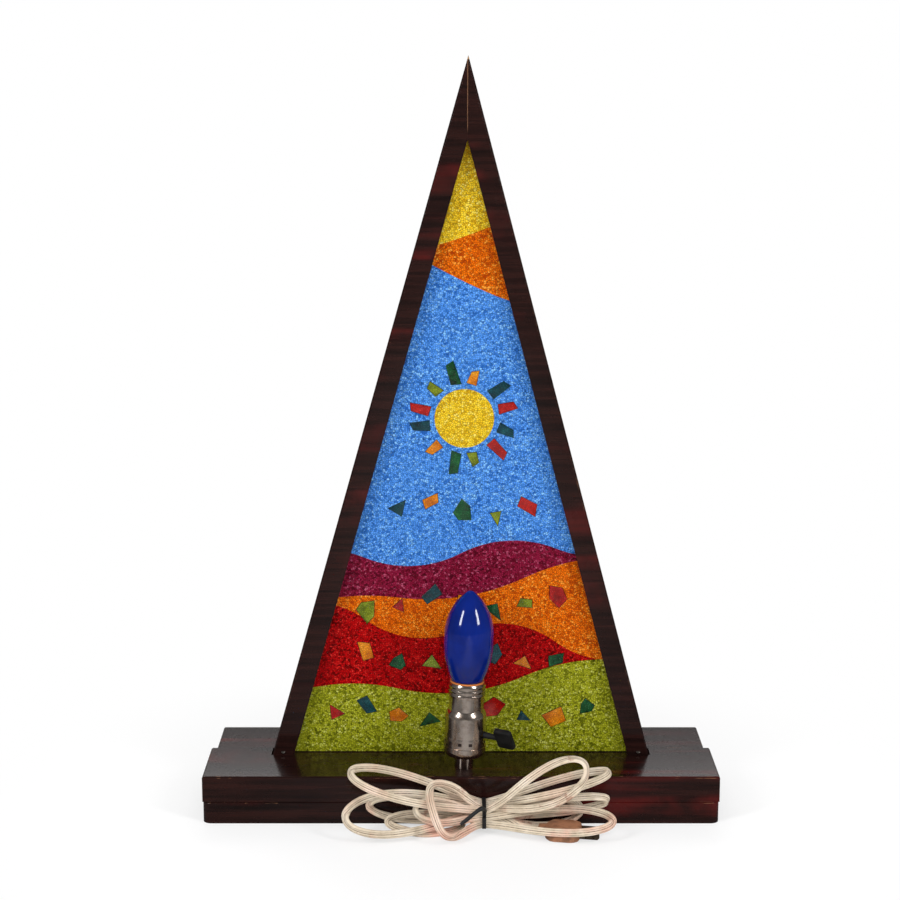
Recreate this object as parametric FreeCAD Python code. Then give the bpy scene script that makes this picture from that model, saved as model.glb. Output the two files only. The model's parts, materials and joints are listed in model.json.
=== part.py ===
import FreeCAD, Part
import math
import os

# Accent lamp: a tall triangle of wood holds a glass sheet covered with bonded crushed glass, and stands in
# a base of stacked boards. Behind it a turn-knob lampholder carries a blue bulb that lights the panel from
# the back. The flat cord lies behind the base, tied in a hank.
# Millimetres. x runs along the base, y from the bulb's side to the display side, z up, and the origin is at
# the centre of the base's underside.

V = FreeCAD.Vector
UP = V(0, 0, 1)

# Base boards
base_length = 432.0
base_depth = 128.0
lower_thick = 19.0
upper_thick = 22.0
rear_depth = 72.0
front_length = 422.0
lower_corner_radius = 7.0
arris = 1.2

# Frame legs
frame_height = 590.0
frame_half_width = 161.6
frame_lean = 5.7
leg_face = 17.7
leg_depth = 17.7
notch_outer_gap = 1.0
fit_gap = 0.2

# Glass panel
glass_thick = 3.0
glass_setback = 5.7
groove_depth = 5.0
glass_grip = 4.6
sill_depth = 4.0
grit_thick = 2.5
grit_margin = 0.3
shard_thick = 3.6

# Lampholder, measured up its own axis from the base's top
socket_x = 2.5
socket_inset = 25.0
socket_tilt = 2.1
socket_lift = 0.3
hub_radius = 7.9
hub_height = 9.5
cap_radius = 17.7
cap_height = 19.6
band_height = 28.3
barrel_radius = 17.3
barrel_height = 45.4
neck_radius = 14.8
neck_base = 51.7
bead_base = 62.9
bead_height = 3.9
bead_proud = 0.9
bead_count = 3
bead_flat = 1.8
shell_wall = 0.5
shell_tuck = 3.3
liner_wall = 0.6
vent_count = 12
vent_width = 3.0
vent_height = 2.6
seat_gap = 0.3

# Threaded tube that holds the lampholder down
nipple_radius = 5.0
nipple_bore = 3.4
nipple_reach = 9.5
nipple_tail = 1.0
nut_across = 15.0
nut_thick = 4.0
washer_radius = 9.0
washer_thick = 1.4
counterbore_radius = 11.0
counterbore_depth = 8.0
cord_well_radius = 15.0
cord_groove_width = 10.0
cord_groove_depth = 6.5

# Switch and its knob
switch_height = 31.0
switch_yaw = 27.0
knob_turn = 35.0
knob_start = 29.0
knob_length = 15.5
knob_width = 22.0
knob_thick = 4.4
knob_corner = 1.8
knob_edge = 0.7
stem_radius = 2.8
stem_hole = 3.4
shaft_radius = 1.6
shaft_play = 0.08
shaft_depth = 7.0
shaft_end = 3.0

# Insides of the lampholder
body_radius = 15.7
body_base = 21.5
body_top = 44.0
terminal_flat = 11.0
terminal_height = 27.0
terminal_radius = 3.0
terminal_head = 1.6
terminal_shank = 5.0
screw_shell_radius = 13.2
screw_shell_wall = 0.35
screw_shell_lip = 4.2
screw_shell_top = 73.5
contact_height = 49.3

# Bulb
bulb_radius = 20.65
bulb_widest = 112.0
bulb_neck_radius = 13.3
bulb_neck = 77.0
bulb_lower_radius = 18.9
bulb_lower_rise = 15.5
bulb_upper_radius = 15.6
bulb_upper_rise = 25.0
bulb_tip = 153.5
bulb_tip_radius = 5.5
bulb_tip_angle = 53.0
bulb_wall = 0.8
bulb_cap_radius = 12.9
bulb_cap_base = 56.0
bulb_contact_tip = 49.6
filament_foot = 40.0
stem_tube = 2.6

# Crushed-glass design. A band's upper edge has a height over the deck, a slope, a swing and the length of
# half a wave.
band_edges = (
    ("grit_green", 62.0, 0.10, 9.0, 108.0),
    ("grit_red", 108.0, -0.12, 11.0, 81.0),
    ("grit_orange", 146.0, 0.16, 8.0, 108.0),
    ("grit_plum", 176.0, 0.05, 9.0, 81.0),
    ("grit_blue", 412.0, -0.50, 4.0, 108.0),
    ("grit_orange", 446.0, 0.35, 3.0, 108.0),
)
top_band = "grit_yellow"
disc_height = 292.0
disc_radius = 25.0
ray_count = 12
ray_gap = 4.0
ray_length = 19.0
ray_spread = 9.0
row_heights = (34.0, 84.0, 132.0, 214.0)
row_spacing = 27.0
row_shard = 9.5
row_clear = 4.0
shard_colours = ("shards_red", "shards_teal", "shards_amber", "shards_green", "shards_olive")

# Fasteners
base_screw_length = 32.0
base_screw_radius = 2.1
base_screw_head = 4.2
base_screw_inset = 0.6
screw_columns = 2
screw_spacing = 300.0
screw_slot = 1.0
nail_length = 38.0
nail_radius = 0.9
nail_head_radius = 1.7
nail_head_thick = 0.7
nail_angle = 30.0
nail_rise = 2.5

# Flat cord, drawn as a plain tube of about the same section. Its unused length lies in a hank of loops that
# a tie gathers: loops go left and right in turn, and each crosses the tie at its own place. A cord's place is
# written as x, distance behind the base and height.
cord_tube = 4.7
cord_side_count = 6
tie_x = 19.0
tie_width = 3.2
tie_thick = 1.3
tie_tail = 20.0
tie_gap = 0.3
tie_knot = 5.0
tie_drop = 12.0
tie_way = 205.0
waist_half = 6.5
waist_pitch = 6.0
waist_behind = 5.8
waist_low = 8.9
loop_point_count = 9
# side, reach, tip's distance behind the base and height, plane's lean, width, column and row at the tie
loops = (
    (-1, 81.5, 20.5, 10.0, 205, 16.5, 1, 0),
    (1, 83.0, 6.0, 14.5, 261, 21.0, 0, 1),
    (-1, 98.0, 5.0, 18.0, 94, 20.0, 0, 0),
    (1, 104.5, 20.5, 29.0, 301, 17.0, 1, 1),
    (-1, 117.0, 34.0, 26.0, 214, 35.5, 1, 2),
    (1, 105.0, 20.5, 53.0, 189, 22.0, 0, 2),
    (-1, 112.5, 31.0, 56.5, 27, 28.0, 3, 2),
    (1, 85.5, 35.5, 60.5, 84, 37.5, 2, 2),
    (-1, 47.0, 44.0, 32.0, 45, 45.5, 3, 0),
    (1, 108.0, 32.5, 16.0, 179, 25.5, 3, 1),
    (-1, 58.0, 33.5, 25.5, 240, 18.5, 2, 1),
)
lead_points = ((1.1, 0, 2.8), (1.1, 8.5, 2.8), (-1.9, 17.5, 2.75), (-9, 24.5, 2.7), (-19, 27.8, 2.7))
hank_start = (-30, 29.4, 2.7)
tail_points = ((38, 16.5, 9.5), (51, 22.5, 4.9), (64, 25, 4.9))
cord_bend_share = 0.57

# Plug
plug_length = 35.0
plug_width = 28.0
plug_height = 9.0
plug_bevel = 1.2
plug_neck = 6.0
plug_wall = 1.4
plug_corner = 9.0
blade_length = 16.0
blade_seat = 9.0
blade_width = 6.35
blade_thick = 1.5
blade_spacing = 12.7

# Places worked out from the sizes above
deck = lower_thick + upper_thick
rear_y = -base_depth / 2
seam_y = rear_y + rear_depth
front_y = base_depth / 2
leg_back = seam_y - leg_depth
glass_back = leg_back + glass_setback
glass_front = glass_back + glass_thick
grit_front = glass_front + grit_thick
socket_y = rear_y + socket_inset


def box(x0, x1, y0, y1, z0, z1):
    return Part.makeBox(x1 - x0, y1 - y0, z1 - z0, V(x0, y0, z0))


def rod(radius, length, start, direction=UP):
    return Part.makeCylinder(radius, length, start, direction)


def face_of(start, *steps):
    """Closed face in the xz plane. A step is a corner, or a pair: a point on an arc and the arc's end."""
    here = V(start[0], 0, start[1])
    edges = []
    for step in steps + (start,):
        arc = isinstance(step[0], tuple)
        end = V(step[1][0], 0, step[1][1]) if arc else V(step[0], 0, step[1])
        if arc:
            middle = V(step[0][0], 0, step[0][1])
            edges.append(Part.Arc(here, middle, end).toShape())
        elif end.distanceToPoint(here) > 1e-6:
            edges.append(Part.LineSegment(here, end).toShape())
        here = end
    return Part.Face(Part.Wire(edges))


def turned(start, *steps):
    """Solid of revolution about z from a face outline in radius and height."""
    return face_of(start, *steps).revolve(V(0, 0, 0), UP, 360)


def slab(face, y0, y1):
    """A face drawn in the xz plane, given its thickness from y0 to y1."""
    solid = face.extrude(V(0, y1 - y0, 0))
    solid.translate(V(0, y0, 0))
    return solid


def save(name, *solids):
    shape = solids[0] if len(solids) == 1 else Part.makeCompound(list(solids))
    shape.exportStep(os.path.join("parts", name + ".step"))


def edges_at(shape, test):
    """Edges whose two ends both pass a test."""
    return [e for e in shape.Edges if len(e.Vertexes) == 2 and all(test(v.Point) for v in e.Vertexes)]


# Frame outline: each side line runs from the foot's outer corner on the deck to the leaning apex.
apex = (frame_lean, deck + frame_height)


def side_slope(side):
    """How far a side's line moves in x for each millimetre of height."""
    return (apex[0] - side * frame_half_width) / frame_height


def side_x(side, z, inward=0.0):
    """x of a side's line at a height, moved towards the middle by a distance square to the line."""
    slope = side_slope(side)
    across = inward * math.hypot(1.0, slope)
    return side * frame_half_width + slope * (z - deck) - side * across


def inner_apex(inward):
    """Where the two side lines meet when both are moved towards the middle."""
    left = side_x(-1, deck, inward)
    right = side_x(1, deck, inward)
    rise = (right - left) / (side_slope(-1) - side_slope(1))
    return (left + side_slope(-1) * rise, deck + rise)


def triangle(z0, inward):
    """Face between the two side lines above a height."""
    return face_of((side_x(-1, z0, inward), z0), inner_apex(inward), (side_x(1, z0, inward), z0))


def leg_face_outline(side, z0, outer=0.0, inner=0.0):
    """Face of one leg, mitred at the apex; outer and inner grow it sideways."""
    return face_of(
        (side_x(side, z0, -outer), z0),
        inner_apex(-outer),
        inner_apex(leg_face + inner),
        (side_x(side, z0, leg_face + inner), z0),
    )


def frame_leg(side):
    leg = slab(leg_face_outline(side, lower_thick), leg_back, seam_y)
    long_edges = edges_at(leg, lambda p: abs(p.x - side_x(side, p.z)) < 1e-3)
    leg = leg.makeChamfer(arris, [e for e in long_edges if e.Length > frame_height / 2])
    groove = slab(triangle(lower_thick, leg_face - groove_depth), glass_back - fit_gap, glass_front + fit_gap)
    return leg.cut(groove).cut(foot_nail(side))


# Toe nail: driven at a slant through the foot's rear face, down into the lower board.
def foot_nail(side):
    x = (side_x(side, deck) + side_x(side, deck, leg_face)) / 2
    slant = math.radians(nail_angle)
    direction = V(0, math.sin(slant), -math.cos(slant))
    start = V(x, leg_back, deck + nail_rise)
    head = rod(nail_head_radius, nail_head_thick, start - direction * nail_head_thick, direction)
    return head.fuse(rod(nail_radius, nail_length, start, direction)).removeSplitter()


# Wood screws from below hold both upper boards to the lower one.
def screw_places():
    for column in range(screw_columns):
        x = (column - (screw_columns - 1) / 2) * screw_spacing
        yield V(x, (rear_y + leg_back) / 2, 0)
        yield V(x, (seam_y + front_y) / 2, 0)


def base_screw(place):
    bottom = base_screw_inset
    cone = base_screw_head - base_screw_radius
    top = bottom + base_screw_length
    screw = turned(
        (0, bottom),
        (base_screw_head, bottom),
        (base_screw_radius, bottom + cone),
        (base_screw_radius, top),
        (0, top),
    )
    slot = box(-base_screw_head, base_screw_head, -screw_slot / 2, screw_slot / 2, 0, bottom + screw_slot)
    screw = screw.cut(slot)
    screw.translate(place)
    return screw


def screw_hole(place, play):
    """The room that a screw takes in the boards, with play round its shank in the lower one."""
    bottom = base_screw_inset
    cone = base_screw_head - base_screw_radius
    shank = base_screw_radius + play
    hole = turned(
        (0, -1),
        (base_screw_head, -1),
        (base_screw_head, bottom),
        (shank, bottom + cone - play),
        (shank, lower_thick),
        (base_screw_radius, lower_thick),
        (base_screw_radius, bottom + base_screw_length),
        (0, bottom + base_screw_length),
    )
    hole.translate(place)
    return hole


def edges_on_top(board, z):
    """The edges of a board's face at one height."""
    return edges_at(board, lambda p: abs(p.z - z) < 1e-6)


def lower_board():
    half = base_length / 2
    board = box(-half, half, rear_y, front_y, 0, lower_thick)
    upright = [e for e in board.Edges if abs(e.Length - lower_thick) < 1e-6]
    board = board.makeFillet(lower_corner_radius, upright)
    board = board.makeChamfer(arris, edges_on_top(board, lower_thick))
    well = rod(cord_well_radius, lower_thick, V(socket_x, socket_y, 0))
    groove = box(-cord_groove_width / 2, cord_groove_width / 2, rear_y, socket_y, 0, cord_groove_depth)
    groove.translate(V(socket_x, 0, 0))
    board = board.cut(well).cut(groove)
    for place in screw_places():
        board = board.cut(screw_hole(place, fit_gap))
    return board.cut(foot_nail(-1)).cut(foot_nail(1))


def upper_board(length, y0, y1):
    """A board on the lower one, its top edges eased but for the one at the seam."""
    board = box(-length / 2, length / 2, y0, y1, lower_thick, deck)
    seam = [e for e in edges_on_top(board, deck) if all(abs(v.Point.y - seam_y) < 1e-6 for v in e.Vertexes)]
    eased = [e for e in edges_on_top(board, deck) if not any(e.isSame(s) for s in seam)]
    return board.makeChamfer(arris, eased)


def rear_upper_board():
    board = upper_board(base_length, rear_y, seam_y)
    for side in (-1, 1):
        notch = leg_face_outline(side, lower_thick, notch_outer_gap, fit_gap)
        board = board.cut(slab(notch, leg_back - fit_gap, seam_y))
    sill = deck - sill_depth
    grip = leg_face - glass_grip
    groove = slab(triangle(sill, grip), glass_back - fit_gap, glass_front + fit_gap)
    board = board.cut(groove)
    board = board.cut(seated(rod(nipple_radius + fit_gap, upper_thick * 2, V(0, 0, -upper_thick * 1.5))))
    board = board.cut(rod(counterbore_radius, counterbore_depth, V(socket_x, socket_y, lower_thick)))
    for place in screw_places():
        board = board.cut(screw_hole(place, fit_gap))
    return board


def front_upper_board():
    board = upper_board(front_length, seam_y, front_y)
    for place in screw_places():
        board = board.cut(screw_hole(place, fit_gap))
    return board


def seated(shape):
    """Places a lampholder piece, drawn up its own axis from zero, on the deck at its small tilt."""
    placed = shape.copy()
    placed.rotate(V(0, 0, 0), V(0, 1, 0), socket_tilt)
    placed.translate(V(socket_x, socket_y, deck + socket_lift))
    return placed


# Lampholder, drawn up its own axis: z is zero where its hub stands on the deck.
def switch_way(shape):
    """Turns a piece drawn along +x at the switch's height to the way the switch points."""
    turned_way = shape.copy()
    turned_way.rotate(V(0, 0, 0), UP, -switch_yaw)
    turned_way.translate(V(0, 0, switch_height))
    return turned_way


def switch_hole(radius, reach):
    return switch_way(rod(radius, reach, V(0, 0, 0), V(1, 0, 0)))


def socket_cap():
    bore = nipple_radius + shaft_play
    wall = 2 * shell_wall
    rim = cap_radius - shell_wall
    floor = hub_height + wall
    rise = cap_height - 3.6
    return turned(
        (bore, 0),
        (hub_radius, 0),
        (hub_radius, hub_height),
        (hub_radius + 3, hub_height + 0.5),
        ((cap_radius - 1.8, hub_height + 2.6), (cap_radius, rise)),
        (cap_radius, cap_height),
        (rim, cap_height),
        (rim, rise),
        (rim - 1.4, floor + 2.4),
        (rim - 4.5, floor + 0.3),
        (bore, floor + 0.3),
    )


def shell_profile(inset):
    """Corners and arcs of the shell's outer surface from its lower edge up, moved in by an amount."""
    barrel = barrel_radius - inset
    neck = neck_radius - inset
    return (
        (barrel, cap_height + 0.6),
        (barrel, band_height),
        (barrel - 0.35, band_height + 0.2),
        (barrel, band_height + 0.5),
        (barrel, barrel_height),
        ((barrel - 0.8, barrel_height + 3.6), (neck + 0.4, neck_base - 0.6)),
        (neck, neck_base),
        (neck, bead_base),
    )


def socket_shell():
    tuck = cap_radius - shell_wall - 0.1
    beads = []
    for bead in range(bead_count):
        middle = bead_base + (bead + 0.5) * bead_height
        beads.append((neck_radius + bead_proud, middle - bead_flat / 2))
        beads.append((neck_radius + bead_proud, middle + bead_flat / 2))
        beads.append((neck_radius, middle + bead_height / 2))
    top = bead_base + bead_count * bead_height
    inner = [
        (neck_radius - shell_wall, top + 0.5),
        (neck_radius - shell_wall, neck_base),
        (barrel_radius - shell_wall, barrel_height),
        (barrel_radius - shell_wall, cap_height + 0.9),
        (tuck - shell_wall, cap_height + 0.4),
    ]
    shell = turned(
        (tuck - shell_wall, cap_height - shell_tuck),
        (tuck, cap_height - shell_tuck),
        (tuck, cap_height + 0.1),
        *shell_profile(0),
        *beads,
        (neck_radius, top + 0.5),
        *inner,
    )
    vent_z = (cap_height + 0.6 + band_height) / 2
    vent = box(barrel_radius - 2, barrel_radius + 1, -vent_width / 2, vent_width / 2, 0, vent_height)
    for place in range(vent_count):
        hole = vent.copy()
        hole.translate(V(0, 0, vent_z - vent_height / 2))
        hole.rotate(V(0, 0, 0), UP, (place + 0.5) * 360 / vent_count)
        shell = shell.cut(hole)
    return shell.cut(switch_hole(stem_hole, barrel_radius + 2))


def socket_liner():
    wide = barrel_radius - shell_wall - 0.15
    slim = neck_radius - shell_wall - 0.15
    top = bead_base + bead_count * bead_height + 1.6
    shoulder = barrel_height - 0.4
    liner = turned(
        (wide - liner_wall, body_base + 1),
        (wide, body_base + 1),
        (wide, shoulder),
        (slim, shoulder + wide - slim),
        (slim, top),
        (slim - liner_wall, top),
        (slim - liner_wall, shoulder + wide - slim - liner_wall / 2),
        (wide - liner_wall, shoulder - liner_wall / 2),
    )
    return liner.cut(switch_hole(stem_hole, barrel_radius + 2))


def socket_body():
    """Moulded switch block inside the barrel, with a flat at each side for a terminal screw."""
    bevel = 1.5
    body = turned(
        (0, body_base),
        (body_radius, body_base),
        (body_radius, body_top - bevel),
        (body_radius - bevel, body_top),
        (0, body_top),
    )
    top = terminal_height + 2 * terminal_radius
    for side in (-1, 1):
        flat = box(-body_radius, body_radius, terminal_flat, body_radius + 1, body_base - 1, top)
        flat.rotate(V(0, 0, 0), UP, 90 - side * 90 - switch_yaw)
        body = body.cut(flat)
        body = body.cut(terminal_screw(side))
    bore_start = shaft_depth - shaft_play
    bore = rod(shaft_radius + shaft_play, body_radius, V(bore_start, 0, 0), V(1, 0, 0))
    return body.cut(switch_way(bore))


def terminal_screw(side):
    out = V(0, 1, 0)
    seat = V(0, terminal_flat, terminal_height)
    shank = rod(terminal_radius / 2, terminal_shank, seat - out * terminal_shank, out)
    head = rod(terminal_radius, terminal_head, seat, out)
    slot = box(-terminal_radius, terminal_radius, terminal_head / 2, terminal_head, -0.4, 0.4)
    slot.translate(seat)
    screw = shank.fuse(head).cut(slot).removeSplitter()
    screw.rotate(V(0, 0, 0), UP, 90 - side * 90 - switch_yaw)
    return screw


def screw_shell():
    inner = screw_shell_radius
    outer = inner + screw_shell_wall
    floor = body_top + screw_shell_wall
    lip = inner - screw_shell_lip
    return turned(
        (lip, body_top),
        (outer, body_top),
        (outer, screw_shell_top),
        (inner, screw_shell_top),
        (inner, floor),
        (lip, floor),
    )


def centre_contact():
    """Springy brass tab under the bulb's tip."""
    wall = 0.5
    strip = face_of(
        (-6, body_top),
        (-2, body_top),
        ((2.4, body_top + 1.7), (4, contact_height - wall)),
        (4, contact_height),
        ((1.6, body_top + 2.0), (-2, body_top + wall)),
        (-6, body_top + wall),
    )
    return slab(strip, -2.5, 2.5)


def nipple():
    bottom = -(upper_thick - counterbore_depth + washer_thick + nut_thick + nipple_tail)
    length = nipple_reach - bottom
    return rod(nipple_radius, length, V(0, 0, bottom)).cut(rod(nipple_bore, length, V(0, 0, bottom)))


def washer_top():
    """Height of the washer's upper face: its tilted rim just clears the counterbore's ceiling."""
    tilt_room = washer_radius * math.sin(math.radians(socket_tilt)) + 0.05
    return counterbore_depth - upper_thick - socket_lift - tilt_room


def washer():
    top = washer_top()
    ring = rod(washer_radius, washer_thick, V(0, 0, top - washer_thick))
    return ring.cut(rod(nipple_radius + shaft_play, washer_thick, V(0, 0, top - washer_thick)))


def lock_nut():
    foot = V(0, 0, washer_top() - washer_thick - nut_thick)
    reach = nut_across / math.sqrt(3)
    turns = [math.radians(60 * k) for k in range(7)]
    corners = [foot + V(reach * math.cos(turn), reach * math.sin(turn), 0) for turn in turns]
    nut = Part.Face(Part.makePolygon(corners)).extrude(UP * nut_thick)
    return nut.cut(rod(nipple_radius + shaft_play / 2, nut_thick, foot))


def switch_shaft():
    length = knob_start + shaft_end - shaft_depth
    return switch_way(rod(shaft_radius, length, V(shaft_depth, 0, 0), V(1, 0, 0)))


def switch_knob():
    """Moulded paddle on a stem, with its corners clipped, turned about the shaft to where it rests."""
    half = knob_width / 2
    end = knob_start + knob_length
    clip = knob_corner
    paddle = face_of(
        (knob_start, -half + clip),
        (knob_start + clip, -half),
        (end - clip, -half),
        (end, -half + clip),
        (end, half - clip),
        (end - clip, half),
        (knob_start + clip, half),
        (knob_start, half - clip),
    )
    paddle = slab(paddle, -knob_thick / 2, knob_thick / 2)
    rims = [e for e in paddle.Edges if abs(e.tangentAt(e.FirstParameter).y) < 1e-6]
    paddle = paddle.makeChamfer(knob_edge, rims)
    stem_start = barrel_radius + seat_gap
    stem_length = knob_start + shaft_end + 1 - stem_start
    stem = Part.makeCone(stem_radius, stem_radius - 0.5, stem_length, V(stem_start, 0, 0), V(1, 0, 0))
    knob = paddle.fuse(stem).removeSplitter()
    knob = knob.cut(rod(shaft_radius, knob_start + shaft_end, V(0, 0, 0), V(1, 0, 0)))
    knob.rotate(V(0, 0, 0), V(1, 0, 0), knob_turn)
    return switch_way(knob)


# Bulb, on the same axis
def bulb_outline(inset):
    """Corners and arcs of the bulb from its neck up to its tip, moved in by an amount."""
    widest = bulb_radius - inset
    ball = bulb_tip_radius - inset
    centre = bulb_tip - bulb_tip_radius
    edge = math.radians(bulb_tip_angle)
    return (
        (bulb_neck_radius - inset, bulb_neck),
        ((bulb_lower_radius - inset, bulb_neck + bulb_lower_rise), (widest, bulb_widest)),
        (
            (bulb_upper_radius - inset, bulb_widest + bulb_upper_rise),
            (ball * math.sin(edge), centre + ball * math.cos(edge)),
        ),
        ((ball * math.sin(edge / 2), centre + ball * math.cos(edge / 2)), (0, centre + ball)),
    )


def bulb_glass():
    neck = bulb_cap_radius - 0.6
    seat = bulb_cap_base + 10
    inner = bulb_outline(bulb_wall)
    outside = turned((0, seat), (neck, seat), (neck, bulb_neck - 1.5), *bulb_outline(0))
    hollow = turned(
        (0, seat - 1),
        (neck - bulb_wall, seat - 1),
        (neck - bulb_wall, bulb_neck - 1.5),
        inner[1][0],
        inner[1][1],
        inner[2][0],
        (0, bulb_tip - 4 * bulb_wall),
    )
    return outside.cut(hollow)


def bulb_cap():
    wall = 0.3
    inner = bulb_cap_radius - wall
    return turned(
        (inner, bulb_cap_base),
        (bulb_cap_radius, bulb_cap_base),
        (bulb_cap_radius, bulb_neck - 1.5),
        (bulb_cap_radius + 0.35, bulb_neck - 0.6),
        (bulb_cap_radius + 0.35 - wall, bulb_neck - 0.6),
        (inner, bulb_neck - 1.5),
    )


def bulb_insulator():
    inner = bulb_cap_radius - 0.3
    foot = bulb_cap_base - 4
    top = bulb_cap_base + 3
    return turned((0, foot), (5, foot), (inner, bulb_cap_base), (inner, top), (0, top))


def bulb_contact():
    top = bulb_cap_base - 4
    return turned((0, bulb_contact_tip), ((3, bulb_contact_tip + 0.5), (4.4, top)), (0, top))


def bulb_stem():
    """Flared foot under the neck, its slim tube rising to the filament's wires."""
    seat = bulb_cap_base + 10
    rim = bulb_cap_radius - 0.6
    inside = rim - bulb_wall - shaft_play
    top = bulb_cap_base + filament_foot
    return turned(
        (0, seat - 2),
        (rim, seat - 2),
        (rim, seat),
        (inside, seat),
        (4, seat + 4),
        (stem_tube, seat + 9),
        (stem_tube, top),
        (0, top),
    )


def bulb_filament():
    foot = bulb_cap_base + filament_foot + 0.2
    top = bulb_widest + 2
    half = 8
    wires = []
    for side in (-1, 1):
        line = Part.makeLine(V(side * 1.6, 0, foot), V(side * half, 0, top))
        wires.append(tube(Part.Wire(line), 0.35))
    arch = Part.Arc(V(-half, 0, top), V(0, 0, top + 6), V(half, 0, top)).toShape()
    return tube(Part.Wire(arch), 0.4).fuse(wires).removeSplitter()


# Crushed glass: bands of colour cut from the panel's opening, a disc, and larger pieces set among them.
def wave_face(height, slope, swing, half_wave):
    """Everything below a wavy line that crosses the panel."""
    reach = frame_half_width
    count = round(2 * reach / half_wave)
    step = 2 * reach / count

    def line(x):
        return deck + height + slope * x

    arcs = []
    for k in range(count):
        x0 = -reach + k * step
        x1 = x0 + step
        middle = (x0 + step / 2, line(x0 + step / 2) + swing * (-1) ** k)
        arcs.append((middle, (x1, line(x1))))
    return face_of((-reach, deck - 1), (-reach, line(-reach)), *arcs, (reach, deck - 1))


def middle_x(height):
    """The middle of the panel at a height over the deck."""
    z = deck + height
    return (side_x(-1, z) + side_x(1, z)) / 2


def shard(x, height, size, turn, corners):
    """An uneven flat piece of glass, its corners at uneven distances from its middle."""
    points = []
    for k in range(corners):
        angle = turn + 2 * math.pi * (k + 0.16 * math.sin(3.1 * k + turn)) / corners
        reach = size * (0.92 + 0.2 * math.sin(2.3 * k + 5 * turn))
        points.append((x + reach * math.cos(angle), deck + height + reach * math.sin(angle)))
    return face_of(*points)


def ray(index):
    """A long piece pointing away from the disc, blunt at one end."""
    angle = 2 * math.pi * (index + 0.5) / ray_count + 0.06 * math.sin(4 * index)
    near = disc_radius + ray_gap
    far = near + ray_length * (0.9 + 0.2 * math.sin(2.6 * index))
    half = math.radians(ray_spread)
    tilt = 0.05 * math.sin(5 * index)
    x0 = middle_x(disc_height)
    z0 = deck + disc_height
    corners = []
    spread = ((near, -half), (far, tilt - half / 2), (far - 2.5, tilt + half / 2), (near + 1.2, half))
    for reach, turn in spread:
        corners.append((x0 + reach * math.cos(angle + turn), z0 + reach * math.sin(angle + turn)))
    return face_of(*corners)


def inlaid_shards():
    """Pieces set straight on the glass: colour index and face."""
    for index in range(ray_count):
        yield index, ray(index)
    for row, height in enumerate(row_heights):
        room = side_x(1, deck + height, leg_face) - middle_x(height) - row_shard * 1.3 - row_clear
        count = 2 * int(room / row_spacing) + 1
        for k in range(count):
            x = middle_x(height) + (k - (count - 1) / 2) * row_spacing
            rise = 7.0 * math.sin(1.7 * k + 2.1 * row)
            size = row_shard * (1.0 + 0.18 * math.sin(2.9 * k + row))
            yield k + 2 * row, shard(x, height + rise, size, 1.3 * k + row, 3 + (k + row) % 3)


def laid_shards():
    """Pieces bonded on top of the crushed glass, between the rows below."""
    for row in range(len(row_heights) - 1):
        height = (row_heights[row] + row_heights[row + 1]) / 2
        room = side_x(1, deck + height, leg_face) - middle_x(height) - row_shard * 1.4
        count = 2 * int(room / row_spacing)
        for k in range(count):
            x = middle_x(height) + (k - (count - 1) / 2) * row_spacing
            rise = 4.0 * math.sin(2.2 * k)
            size = row_shard * (1.05 + 0.15 * math.sin(2.1 * k + row))
            yield k + row + 1, shard(x, height + rise, size, 0.9 * k + 2 * row, 4 + (k + row) % 2)


def glass_sheet():
    return slab(triangle(deck - sill_depth + fit_gap, leg_face - glass_grip), glass_back, glass_front)


def crushed_glass():
    """Colour name to solids."""
    left = slab(triangle(deck, leg_face + grit_margin), glass_front, grit_front)
    for _, face in inlaid_shards():
        left = left.cut(slab(face, glass_front, grit_front))
    centre = V(middle_x(disc_height), glass_front, deck + disc_height)
    disc = rod(disc_radius, grit_thick, centre, V(0, 1, 0))
    colours = {"grit_yellow": [left.common(disc)]}
    left = left.cut(disc)
    for name, height, slope, swing, half_wave in band_edges:
        below = slab(wave_face(height, slope, swing, half_wave), glass_front - 1, grit_front + 1)
        colours.setdefault(name, []).append(left.common(below))
        left = left.cut(below)
    colours.setdefault(top_band, []).append(left)
    return {name: [solid for piece in pieces for solid in piece.Solids] for name, pieces in colours.items()}


def glass_shards():
    colours = {name: [] for name in shard_colours}
    for faces, y0, y1 in (
        (inlaid_shards(), glass_front, grit_front),
        (laid_shards(), grit_front, grit_front + shard_thick),
    ):
        for index, face in faces:
            colours[shard_colours[index % len(shard_colours)]].append(slab(face, y0, y1))
    return colours


# Cord
def behind_base(x, distance, z):
    """A place behind the base's rear face."""
    return V(x, rear_y - distance, z)


def arc_path(points, share=0.45):
    """Straight runs joined by tangent arcs, each taking a share of the shorter run beside it."""
    edges = []
    here = points[0]
    for before, corner, after in zip(points, points[1:], points[2:]):
        way_in = (corner - before).normalize()
        way_out = (after - corner).normalize()
        half_turn = way_in.getAngle(way_out) / 2
        setback = share * min((corner - before).Length, (after - corner).Length)
        radius = setback / math.tan(half_turn)
        print("cord arc radius %.1f mm" % radius)
        start = corner - way_in * setback
        end = corner + way_out * setback
        inward = (way_out - way_in).normalize()
        middle = corner + inward * radius * (1 / math.cos(half_turn) - 1)
        edges.append(Part.LineSegment(here, start).toShape())
        edges.append(Part.Arc(start, middle, end).toShape())
        here = end
    edges.append(Part.LineSegment(here, points[-1]).toShape())
    return Part.Wire(edges)


def tube(path, radius=cord_tube / 2):
    """A tube with flat sides along a path."""
    start = path.OrderedVertexes[0].Point
    along = path.OrderedEdges[0].tangentAt(path.OrderedEdges[0].FirstParameter)
    across = along.cross(UP).normalize()
    over = across.cross(along)
    corners = []
    for side in range(cord_side_count + 1):
        turn = 2 * math.pi * side / cord_side_count
        corners.append(start + (across * math.cos(turn) + over * math.sin(turn)) * radius)
    return path.makePipeShell([Part.makePolygon(corners)], True, False)


def waist_place(column, row):
    return behind_base(0, waist_behind + waist_pitch * column, waist_low + waist_pitch * row)


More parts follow.
